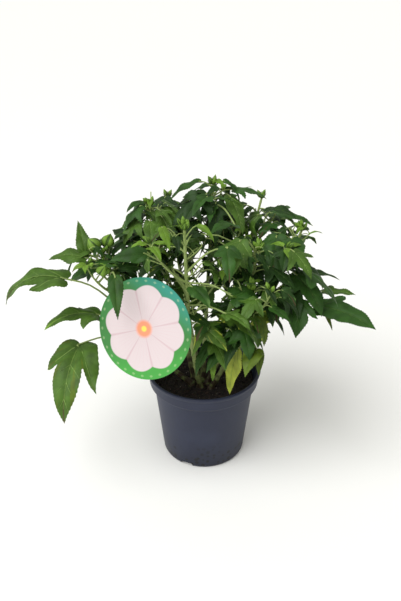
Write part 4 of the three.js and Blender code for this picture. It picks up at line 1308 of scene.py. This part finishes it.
# %% Blade, ribs and stalk
FINE_RINGS = np.array((0.16, 0.33, 0.5, 0.66, 0.82, 0.92, 1.0))
COARSE_RINGS = np.array((0.33, 0.66, 1.0))
LEAF_THICKNESS = 0.45
FULL_TEETH_BLADE = 60
STREAK_EVERY = 5
RIB_THICKNESS = 0.0075
RIB_REACH = 0.93
BRANCH_STARTS = (0.32, 0.52, 0.7)
BRANCH_REACH = np.array((0.15, 0.22))
STALK_ARCH = 0.12
STALK_PLACES = (0, 0.08, 0.3, 0.9, 1)
STALK_RADII = (1.9, 1.5, 1.1, 0.95, 0.8)
FULL_STALK_BLADE = 90
LONG_STALK_SWELL = 1.2


def blade_slots(leaf, colour, rings, count):
    """The material of each face of a blade's top: its green, a dry tip, and patches that turn."""
    slots = np.full((len(rings) - 1, count), colour)
    if leaf.dry:
        tip = np.abs(np.arange(count) - count / 2) < leaf.dry
        slots[-3:, tip] = leaf.end
    if leaf.streaks:
        stops = np.arange(0, count + STREAK_EVERY + 1, STREAK_EVERY)
        patches = np.interp(np.arange(count), stops, leaf_random.random(len(stops)))
        patches = patches + 0.5 * (1 - rings[1:, None])
        slots[patches < leaf.streaks + 0.12] = leaf.turns[0]
        slots[patches < leaf.streaks] = leaf.turns[1]
    return slots.ravel()


def put_blade(heap, leaf, colour, form, fine):
    """Adds a leaf's blade: a closed shell whose top and underside meet at its edge."""
    deep = TEETH_DEPTH * min(1, FULL_TEETH_BLADE / leaf.blade)
    left, right = (half_outline(leaf.lobes * hand, form, fine, deep) for hand in form.hands)
    edge = np.concatenate([left, right[-2::-1] * [1, -1]])
    rings = FINE_RINGS if fine > 1 else COARSE_RINGS
    x = np.outer(rings, edge[:, 0])
    y = np.outer(rings, edge[:, 1])
    lift = blade_lift(x, y, leaf.lobes > 0, form) * leaf.blade
    inside = np.ones_like(x)
    inside[-1] = 0
    inside[:, (0, -1)] = 0
    thick = LEAF_THICKNESS / 2 * inside
    top = blade_points(leaf, x * leaf.blade, y * leaf.blade, lift + thick).reshape(-1, 3)
    under = blade_points(leaf, x * leaf.blade, y * leaf.blade, lift - thick).reshape(-1, 3)
    index = np.arange(len(top)).reshape(x.shape)
    below = np.where(inside > 0, index + len(top), index)
    middle = np.full(len(edge) - 1, 2 * len(top))

    def quads(grid):
        return np.stack([grid[:-1, :-1], grid[:-1, 1:], grid[1:, 1:], grid[1:, :-1]], -1).reshape(-1, 4)

    def fan(row):
        return np.stack([middle, row[1:], row[:-1]], -1)

    points = np.concatenate([top, under, [leaf.base]])
    faces = [quads(index), fan(index[0]), quads(below)[:, ::-1], fan(below[0])[:, ::-1]]
    slots = blade_slots(leaf, colour, rings, len(edge) - 1)
    heap.put(points, faces, [slots, colour, UNDERSIDE, UNDERSIDE])


def put_ribs(heap, leaf, form, slot, fine):
    """Adds the ribs on a blade: one along each lobe and a few that branch off the middle one."""
    lobed = leaf.lobes > 0
    ribs = [((0, 0), (RIB_REACH, 0), 8 if fine > 1 else 5)]
    for hand, scale in zip((1, -1), form.hands):
        lobe_end = heading(form.spread)[:2] * leaf.lobes * scale * RIB_REACH if lobed else NOTCH
        ribs.append(((0, 0), lobe_end * (1, hand), 5))
        if fine > 1:
            for start in BRANCH_STARTS:
                branch_end = (start, 0) + BRANCH_REACH * (1, hand * (1 - start))
                ribs.append(((start, 0), branch_end, 3))
    for start, end, count in ribs:
        share = np.linspace(0, 1, count)[:, None]
        x, y = (np.asarray(start) + (np.asarray(end) - start) * share).T
        proud = blade_lift(x, y, lobed, form) * leaf.blade + LEAF_THICKNESS / 2
        path = blade_points(leaf, x * leaf.blade, y * leaf.blade, proud)
        thick = RIB_THICKNESS * leaf.blade * (1 if start[0] == 0 else 0.5)
        heap.put(*tube(path, np.linspace(thick, thick * 0.25, count), 3), slot)


def put_stalk(heap, leaf, fine):
    """Adds a leaf's stalk, thickest where it joins its cane and thinner towards the blade."""
    middle = leaf.root + (leaf.base - leaf.root) * 0.55 + [0, 0, leaf.stalk * STALK_ARCH]
    count = 6 * fine
    path = curve_through([leaf.root, middle, leaf.base, blade_points(leaf, leaf.blade * 0.05, 0)], count)
    swell = np.interp(np.linspace(0, 1, count), STALK_PLACES, STALK_RADII)
    thick = LONG_STALK_SWELL if leaf.stalk > LONG_STALK else 1
    heap.put(*tube(path, swell * thick * min(1, 0.3 + leaf.blade / FULL_STALK_BLADE), 6))


# %% [markdown]
# ## Stems and buds
# A young hibiscus cane is green and smooth, ribbed lengthwise, with a knot where each leaf stood
# and brown bark at its foot. Ribs and knots could be painted as bump, but they show on a stem's
# outline, so they are in the mesh, and only the fine streaks are left to the material. The flower
# buds sit in ribbed green calyxes with a ruff of narrow bracts. The left cane's are round seed pods.

# %% Green bark, calyx and bract
STEM_GREEN = "#6f8842"
STEM_PALE = "#a8b874"
STEM_BARK = "#3a2e20"
BARK_TOP = (0.28, 0.15)
BARK_STREAK_MM = 1.6
BARK_PATCH_MM = 12
BUD_GRAIN_MM = 1.4
BUD_RELIEF = 0.35
# the bract green also paints shade in the calyx's furrows
BUD_COLOURS = {"calyx_green": "#6d9032", "bract_green": "#3e5a20"}


def green_bark(node, place):
    """Pale streaks along the green stem show which way it grows. Brown patches close up towards
    the soil, so the eye sees a woody foot under young growth."""
    long_way = node("Mapping", {"Vector": place, "Scale": (1, 1, 0.15)})
    streaks = node("TexNoise", {"Vector": long_way, "Scale": per_metre(BARK_STREAK_MM), "Detail": 4})
    two_greens = {0: streaks, 6: linear(STEM_GREEN), 7: linear(STEM_PALE)}
    green = node("Mix", two_greens, out=2, data_type="RGBA")
    patch = node("TexNoise", {"Vector": place, "Scale": per_metre(BARK_PATCH_MM), "Detail": 4})
    height = node("SeparateXYZ", {"Vector": place}, out="Z")
    old = node("MapRange", {"Value": height, "From Min": BARK_TOP[0], "From Max": BARK_TOP[1]})
    barky = node("Math", {0: old, 1: patch}, operation="MULTIPLY")
    share = node("MapRange", {"Value": barky, "From Min": 0.2, "From Max": 0.5})
    return {
        "Base Color": node("Mix", {0: share, 6: green, 7: linear(STEM_BARK)}, out=2, data_type="RGBA"),
        "Roughness": 0.55,
        "IOR": LEAF_IOR,
        "Normal": node("Bump", {"Height": streaks, "Strength": 0.4, "Distance": 0.0006}),
    }


BARK = material("green_bark", green_bark)
BUD_MATERIALS = [
    material(name, living_leaf, hex_colour, 0.5, BUD_GRAIN_MM, BUD_RELIEF)
    for name, hex_colour in BUD_COLOURS.items()
]

# %% Canes with knots
CANE_RADII = (5.4, 4.2, 3.8, 3.5, 3.3, 3.2)
CANE_SIDES = 16
CANE_IN_SOIL = 5
ROOT_FLARE = (1.25, 1.2, 1.12, 1.05)
BARE_SHARE = 0.3
KNOT_EVERY = 26
KNOT_LENGTH = 2.2
KNOT_RISE = 0.16


def knotty(radii, length, count):
    """Radii along a cane of a length, with a low knot at each place where a leaf once stood."""
    share = np.linspace(0, 1, count)
    even = np.interp(share, np.linspace(0, 1, len(radii)), radii)
    from_knot = np.abs(((share * length / KNOT_EVERY) + 0.5) % 1 - 0.5) * KNOT_EVERY
    return even * (1 + KNOT_RISE * np.exp(-((from_knot / KNOT_LENGTH) ** 2)))


def make_cane(made):
    """The bare lower part of a cane, which goes a little way into the soil."""
    path = made.line(np.linspace(0, BARE_SHARE, 46))
    path = np.concatenate([path[:1] - [0, 0, CANE_IN_SOIL], path])
    radii = knotty(CANE_RADII, np.linalg.norm(path[-1] - path[0]), len(path))
    radii[: len(ROOT_FLARE)] *= ROOT_FLARE
    heap = Heap()
    heap.put(*tube(path, radii, CANE_SIDES, ridges=0.045))
    piece("bark_" + made.cane.name, heap, [BARK], "cane", "cane_" + made.cane.name)


print("a cane's foot is", round(2 * CANE_RADII[0] * ROOT_FLARE[0], 1), "mm thick")

# %% Buds and seed pods
BRACTS = 7
CALYX_WIDTHS = (
    (0.25, 0), (0.7, 0.08), (0.95, 0.26), (1, 0.42), (0.82, 0.64), (0.45, 0.83), (0.16, 0.94), (0.04, 1),
)
CALYX_GREEN, BRACT_GREEN = range(2)
CALYX_RIBS = 5
BRACT_PATH = ((0.3, 0), (0.95, 0.22), (1.25, 0.75))  # out and up, by the radius and the ruff's height
BRACT_RADII = (1.1, 0.2)
SMALL_BUDS = (2, 4, 10)  # at a twig's tip, at a cane's, and at a crowded one's
CROWDED_TIPS = ("front", "right")


def put_bud(heap, kind, place, direction, turn):
    """A bud: a ribbed calyx that ends in a point, and a ruff of narrow bracts round its foot."""
    length = kind.length * kind.drawn
    radius = kind.radius * kind.drawn
    outline = curve_through(CALYX_WIDTHS, kind.rows) * (radius, length)
    body, faces = turned([(0, 0), *outline, (0, length)], kind.sides)
    angle = np.arctan2(body[:, 1], body[:, 0])
    ribs = np.abs(np.cos(CALYX_RIBS / 2 * angle + turn)) ** 0.5 - 0.7
    swell = 1 + kind.ribs * ribs * np.sin(math.pi * body[:, 2] / length)
    body[:, :2] *= swell[:, None] * 0.95
    stand = np.array(Vector(direction).to_track_quat("Z", "Y").to_matrix())
    # faces deep in the furrows between the calyx's ribs take the darker bract green: painted shade
    furrow = np.where(ribs[faces[0]].min(axis=1) < kind.furrow, BRACT_GREEN, CALYX_GREEN)
    heap.put(body @ stand.T + place, faces, [furrow, CALYX_GREEN, CALYX_GREEN])
    tall = length * kind.ruff
    for k in range(BRACTS):
        way = heading(k * 360 / BRACTS + turn * 30, radius)
        path = [way * out + [0, 0, tall * up] for out, up in BRACT_PATH]
        line = curve_through(path, 6) @ stand.T + place
        heap.put(*tube(line, np.linspace(*BRACT_RADII, 6) * min(1, radius / 5), 4), BRACT_GREEN)


def put_small_buds(heap, made, draw):
    """The youngest buds, crowded round the tips of a cane and its twigs."""
    at_twig, at_cane, at_crowded = SMALL_BUDS
    at_cane = at_crowded if made.cane.name in CROWDED_TIPS else at_cane
    for line in (made.line, *made.twigs):
        tip = line(0.99)
        for _ in range(at_cane if line is made.line else at_twig):
            direction = unit(heading(draw(0, 360), SMALL_BUD.lean * draw(0.3, 1.3), 1))
            place = tip + direction * SMALL_BUD.stalk * draw(0.6, 1.6)
            ends = np.array((place, place + direction * SMALL_BUD.length))
            if clear_of_label(ends) and in_outline(ends):
                put_bud(heap, SMALL_BUD, place, direction, draw(0, 6))
                heap.put(*tube(np.linspace(tip, place, 4), 0.7, 6), CALYX_GREEN)


for kind in (BUD, SEED_POD, SMALL_BUD):
    print("a calyx", round(kind.length * kind.drawn, 1), "mm long, with", kind.sides, "sides")

# %% [markdown]
# ## Dealing out the greens
# A crown in one green looks like plastic. A real one is a mix: dark old leaves, mid greens, fresh
# ones where the light gets in, a few that yellow in streaks, and brown tips on some of the oldest.
# Each leaf is dealt its green by its age and by where its cane stands, and its own wave, fold and
# width, so that no two are alike. The left and the front of the plant are the freshest in the photo,
# where the light falls, so the fresher greens dealt there are partly the leaves' own tone and partly
# painted light.

# %% A green for each leaf
# More fresh greens on the left and front canes, where the light falls: partly the leaves' own tone, partly
# painted light.
FRESH_SHARE = {"left": 0.55, "front": 0.5, "upper_left": 0.25, "low_right": 0.3}
OTHER_FRESH_SHARE = 0.08
YOUNG_BLADE = 32
DRY_TIPS = 0.1
DRY_TEETH = 3
STREAKED = 0.04
STREAK_SHARE = 0.2
FINE_BLADE = 80
COARSE_BLADE = 46


def leaf_colour(made, leaf, draw):
    """The green of a leaf: by how young it is, and brighter on the left and in front, partly as painted
    light where the light falls.
    """
    # the share of fresh greens, larger on the lit left and front: partly painted light
    fresh = FRESH_SHARE.get(made.cane.name, OTHER_FRESH_SHARE)
    chance = draw()
    if leaf.young > 0.8 and chance < 0.5:
        return YOUNG if chance < 0.22 and leaf.blade < YOUNG_BLADE else FRESH
    if chance < fresh:
        return FRESH
    return MID if chance < fresh + 0.45 * (1 - fresh) else DEEP


def put_leaf(leaves, stems, made, leaf, draw, tuft):
    """Adds one leaf to a mass: its blade and ribs to the leaves, and its stalk to the stems."""
    form = leaf_form()
    colour = YOUNG if tuft else leaf_colour(made, leaf, draw)
    leaf.dry = DRY_TEETH if draw() < DRY_TIPS else 0
    leaf.streaks = STREAK_SHARE if draw() < STREAKED else 0
    leaf.turns = (OLIVE, YELLOW)
    leaf.end = DRIED
    look = dict(getattr(leaf, "look", ()))
    colour = look.get("colour", colour)
    leaf.base = leaf.base + [0, 0, look.get("lift", 0)]
    vars(leaf).update(look)
    vars(form).update(look)
    fine = 3 if leaf.blade > FINE_BLADE else 2 if leaf.blade > COARSE_BLADE else 1
    put_blade(leaves, leaf, colour, form, fine)
    put_ribs(leaves, leaf, form, PALE_RIB if colour in (FRESH, YOUNG, YELLOW) else RIB, fine)
    put_stalk(stems, leaf, min(fine, 2))


# %% Make the foliage
STEM_RADII = (3.2, 1.7)
STEM_SIDES = 12
STEM_LENGTH = 300
FRONT_STEM_SWELL = 1.25
TWIG_RADII = (1.8, 1.1)
SHOOT_RADII = (1.3, 0.8)
LOW_POD = 1
LOW_POD_SHIFT = (-3, -24, -24)
POD_DRAWN_IN = (6, 6, 0)
BUD_DRAWN_IN = 5


def put_stems(heap, made):
    """Adds the leafy part of a cane, its twigs and its side shoots."""
    swell = FRONT_STEM_SWELL if made.cane is FRONT else 1
    radii = knotty(STEM_RADII, STEM_LENGTH, 60) * swell
    heap.put(*tube(made.line(np.linspace(BARE_SHARE, 1, 60)), radii, STEM_SIDES, ridges=0.04))
    for twig in made.twigs:
        heap.put(*tube(twig(np.linspace(0, 1, 16)), np.linspace(*TWIG_RADII, 16), 8))
    for shoot in made.shoots:
        heap.put(*tube(shoot(np.linspace(0, 1, 10)), np.linspace(*SHOOT_RADII, 10), 6))


def put_buds(heap, made):
    """Adds the buds that the solid has. They are smaller than its buds, so they are drawn in."""
    for k, (kind, place, direction) in enumerate(made.buds):
        place = place - direction * (POD_DRAWN_IN if kind is SEED_POD else BUD_DRAWN_IN)
        if kind is SEED_POD and k == LOW_POD:
            place = place + LOW_POD_SHIFT
        put_bud(heap, kind, place, direction, k + 0.5)
        path = np.linspace(made.line(BUD_START), place, 4)
        heap.put(*tube(path, np.linspace(1.5, 1.2, 4), 8), CALYX_GREEN)


def make_foliage(made):
    """The leaves, the stems and the buds of one mass, each kind as one piece."""
    leaves = Heap()
    stems = Heap()
    buds = Heap()
    name = made.cane.name
    draw = numbers_from(made.cane.seed + 1)
    for k, leaf in enumerate(made.leaves + made.tufts):
        put_leaf(leaves, stems, made, leaf, draw, tuft=k >= len(made.leaves))
    put_stems(stems, made)
    put_buds(buds, made)
    put_small_buds(buds, made, draw)
    piece("leaves_" + name, leaves, LEAF_MATERIALS, "foliage", "foliage_" + name, smooth_below=60)
    piece("stems_" + name, stems, [BARK], "cane")
    piece("buds_" + name, buds, BUD_MATERIALS, "foliage")


for made in SHRUB:
    make_cane(made)
    make_foliage(made)

# %% [markdown]
# ## The picture label
# It is a round card, printed and sealed under clear film, on a thin green stick hidden behind it.
# A picture file would be the usual way to print it. A plain rosette can also be drawn by arithmetic
# on the card's own flat coordinates, and stays sharp at any size: the distance from the middle
# gives rings, the angle gives petals, and each ink is mixed over the last where its share says.

# %% The rosette in ink
CARD_PINK = "#d2c4c6"
CARD_ROSE = "#cf9fa8"
CARD_MAUVE = "#b98d98"
CARD_CORAL = "#ee946f"
CARD_YELLOW = "#f1d75e"
CARD_GREEN = "#347a36"
CARD_LIME = "#3f9a3c"
CARD_TEAL = "#2f8c7a"
CARD_DOT = "#cfe3b0"
CARD_IOR = 1.5
HALF_PETALS = 4
PETAL_BULGE = 8
PETAL_NOTCH = 57
PETAL_VEINS = 24
VEINS_FADE = (62, 18)
DOTS = 30
DOT_RING = 71
DOT_SIZE = 3
EDGE_BLUR = 0.8


def rosette(node, flat):
    """What the inks follow, from a place on the card in millimetres: how far it is from the middle,
    the petals and their veins, the ring of dots, and whether it is outside the petals."""
    x = node("SeparateXYZ", {"Vector": flat}, out="X")
    z = x.node.outputs["Z"]
    on_card = node("CombineXYZ", {"X": x, "Y": z})
    radius = node("VectorMath", {0: on_card}, out="Value", operation="LENGTH")
    angle = node("Math", {0: z, 1: x}, operation="ARCTAN2")
    ripples = []
    for times, wave in ((HALF_PETALS, "COSINE"), (PETAL_VEINS, "SINE"), (DOTS, "COSINE")):
        turns = node("Math", {0: angle, 1: times}, operation="MULTIPLY")
        ripples.append(node("Math", {0: turns}, operation=wave))
    petal = node("Math", {0: ripples[0]}, operation="ABSOLUTE")
    off_vein = node("Math", {0: ripples[1]}, operation="ABSOLUTE")
    dot_width = node("Math", {0: ripples[2], 1: DOT_SIZE}, operation="MULTIPLY")
    from_ring = node("Math", {0: radius, 1: DOT_RING}, operation="SUBTRACT")
    from_ring = node("Math", {0: from_ring}, operation="ABSOLUTE")
    dots = node("Math", {0: dot_width, 1: from_ring}, operation="SUBTRACT")
    petal_edge = node("Math", {0: petal, 1: PETAL_BULGE, 2: PETAL_NOTCH}, operation="MULTIPLY_ADD")
    past_petal = node("Math", {0: radius, 1: petal_edge}, operation="SUBTRACT")
    outside = node("MapRange", {"Value": past_petal, "From Min": -EDGE_BLUR, "From Max": EDGE_BLUR})
    on_vein = node("MapRange", {"Value": off_vein, "From Min": 0.25, "From Max": 0})
    inward = node("MapRange", {"Value": radius, "From Min": VEINS_FADE[0], "From Max": VEINS_FADE[1]})
    veins = node("Math", {0: on_vein, 1: inward}, operation="MULTIPLY")
    return SimpleNamespace(radius=radius, petal=petal, veins=veins, dots=dots, outside=outside)


print("the rosette has", 2 * HALF_PETALS, "petals, up to", PETAL_NOTCH + PETAL_BULGE, "mm from its middle")


# %% Printed card
def printed_card(node, place):
    """The film's coat gives a soft, even shine over the whole picture, so it reads as print under
    plastic and not as paint."""
    card_pose = {
        "Vector": place,
        "Location": Vector(LABEL_CENTRE) * MM,
        "Rotation": (-LABEL_LEAN_BACK, 0, -LABEL_TURN_LEFT),
        "Scale": (MM, MM, MM),
    }
    flat = node("Mapping", card_pose, vector_type="TEXTURE")
    drawn = rosette(node, flat)
    to_lime = node("VectorMath", {0: flat, 1: (0.3, 0, -1)}, out="Value", operation="DOT_PRODUCT")
    to_teal = node("VectorMath", {0: flat, 1: (0.45, 0, 1)}, out="Value", operation="DOT_PRODUCT")
    # Each ink over the last: what it follows, where it starts and is full, and how strong it gets.
    rosette_inks = [
        (drawn.veins, 0, 1, 0.5, CARD_ROSE),
        (drawn.petal, 0.2, 0, 0.45, CARD_MAUVE),
        (drawn.radius, 15, 10, 1, CARD_CORAL),
        (drawn.radius, 5, 3.5, 1, CARD_YELLOW),
    ]
    ground_inks = [
        (to_lime, 20, 60, 1, CARD_LIME),
        (to_teal, 38, 76, 1, CARD_TEAL),
        (drawn.dots, 0.9, 1.6, 0.25, CARD_DOT),
    ]
    printed = []
    for base, inks in ((CARD_PINK, rosette_inks), (CARD_GREEN, ground_inks)):
        colour = linear(base)
        for follows, start, full, most, ink in inks:
            reach = {"Value": follows, "From Min": start, "From Max": full, "To Max": most}
            share = node("MapRange", reach)
            colour = node("Mix", {0: share, 6: colour, 7: linear(ink)}, out=2, data_type="RGBA")
        printed.append(colour)
    picture = {0: drawn.outside, 6: printed[0], 7: printed[1]}
    return {
        "Base Color": node("Mix", picture, out=2, data_type="RGBA"),
        "Roughness": 0.3,
        "IOR": CARD_IOR,
        "Coat Weight": 0.3,
        "Coat Roughness": 0.15,
    }


# %% The card
LABEL_THICKNESS = 1.2
LABEL_SIDES = 128


def disc(radius, bottom, top, edge):
    """The profile of a flat disc with a small bevel at its edge, which is cut in by edge."""
    return [
        (0, bottom), (radius - edge[0], bottom), (radius, bottom + edge[1]),
        (radius, top - edge[1]), (radius - edge[0], top), (0, top),
    ]


def in_label_pose(points, behind=0.0):
    """Points made with their axis on Z, stood in the label's pose and some way behind its middle."""
    flat = np.stack([points[:, 0], behind - points[:, 2], points[:, 1]], -1)
    return flat @ np.array(LABEL_POSE).T + LABEL_CENTRE


def make_label():
    """The card: a thin disc, stood in its pose."""
    half = LABEL_THICKNESS / 2
    points, faces = turned(disc(LABEL_RADIUS, -half, half, (0.5, 0.4)), LABEL_SIDES)
    heap = Heap()
    heap.put(in_label_pose(points), faces)
    card = material("printed_card", printed_card)
    piece("picture_label", heap, [card], "label", "plant_label", smooth_below=35)


make_label()

# %% The stick behind the label
STICK_RADIUS = 1.8
STICK_FOOT = (-72, 0)
STICK_SINKS = 3
PLATE_RADIUS = 9
PLATE_THICKNESS = 1.6
PLATE_GAP = 0.3
KNOB = [(0, -5), (3, -5), (3.5, -4.4), (3.5, 0), (0, 0)]
STICK_GREEN = "#4c7a3a"
STICK_LIGHT_GREEN = "#5d8b48"
STICK_MOTTLE_MM = 3


def moulded_green_plastic(node, place):
    """A faint mottle and a soft shine, as a thin moulded stick has."""
    mottle = node("TexNoise", {"Vector": place, "Scale": per_metre(STICK_MOTTLE_MM), "Detail": 3})
    greens = {0: mottle, 6: linear(STICK_GREEN), 7: linear(STICK_LIGHT_GREEN)}
    return {
        "Base Color": node("Mix", greens, out=2, data_type="RGBA"),
        "Roughness": 0.4,
        "IOR": PP_IOR,
        "Normal": node("Bump", {"Height": mottle, "Strength": 0.15, "Distance": 0.0003}),
    }


def make_stick():
    """A stick from the soil to a round plate behind the card, which it holds by a knob."""
    heap = Heap()
    plate_back = LABEL_THICKNESS / 2 + PLATE_GAP + PLATE_THICKNESS
    plate = disc(PLATE_RADIUS, 0, PLATE_THICKNESS, (0.4, 0.4))
    for profile, sides in ((plate, 48), (KNOB, 24)):
        points, faces = turned(profile, sides)
        heap.put(in_label_pose(points, plate_back), faces)
    top = in_label_pose(np.zeros((1, 3)), plate_back + 2)[0]
    foot = np.array((*STICK_FOOT, SOIL_EDGE - STICK_SINKS))
    heap.put(*tube(np.linspace(foot, top, 8), STICK_RADIUS, 16))
    plastic = material("green_plastic", moulded_green_plastic)
    piece("label_support", heap, [plastic], "stick", "label_stick", smooth_below=35)


make_stick()

# %% [markdown]
# ## Light and floor
# The photo was lit evenly and cut out on white. A very wide soft sun from high on the left gives
# each leaf a light side without a hard shadow, a small lamp low on the left brightens the pot's
# edge, and a pale world lights the shadows. The floor is plain and near white, in a plain shader.

# %% Light and floor
KEY_DIRECTION = (0.75, 0.7, -1.5)
KEY_WIDTH = math.radians(50)
EDGE_PLACE = Vector((-1.9, -0.3, 0.7))
EDGE_AIM = Vector((0, 0, 0.3))
WORLD_WHITE = "#f4f3ee"
WORLD_STRENGTH = 0.62
FLOOR_WHITE = "#f4f4f2"
FLOOR_REACH = 30000
FLOOR_BELOW = 0.2


def lamp(name, kind, shines, place=(0, 0, 0), **settings):
    """A soft light that shines in a direction."""
    data = bpy.data.lights.new(name, kind)
    for setting, value in settings.items():
        setattr(data, setting, value)
    made = placed(name, data)
    made.location = place
    made.rotation_mode = "QUATERNION"
    made.rotation_quaternion = Vector(shines).to_track_quat("-Z", "Y")


def pale_paint(node, place):
    """Plain and rather matt, so that nothing on the floor draws the eye."""
    return {"Base Color": linear(FLOOR_WHITE), "Roughness": 0.7}


lamp("key", "SUN", KEY_DIRECTION, energy=2.3, angle=KEY_WIDTH)
lamp("edge", "AREA", EDGE_AIM - EDGE_PLACE, EDGE_PLACE, energy=9, size=0.9)

world = bpy.data.worlds.new("soft_white")
world.use_nodes = True
background = world.node_tree.nodes["Background"]
background.inputs["Color"].default_value = linear(WORLD_WHITE)
background.inputs["Strength"].default_value = WORLD_STRENGTH
bpy.context.scene.world = world

floor_heap = Heap()
floor_corners = [(-1, -1), (1, -1), (1, 1), (-1, 1)]
floor_points = [(x * FLOOR_REACH, y * FLOOR_REACH, -FLOOR_BELOW) for x, y in floor_corners]
floor_heap.put(floor_points, [[(0, 1, 2, 3)]])
floor = placed("pale_floor", floor_heap.mesh("pale_floor", [material("pale_floor", pale_paint)], 50))
bpy.context.scene.view_settings.view_transform = "Standard"

# %% [markdown]
# ## Finish
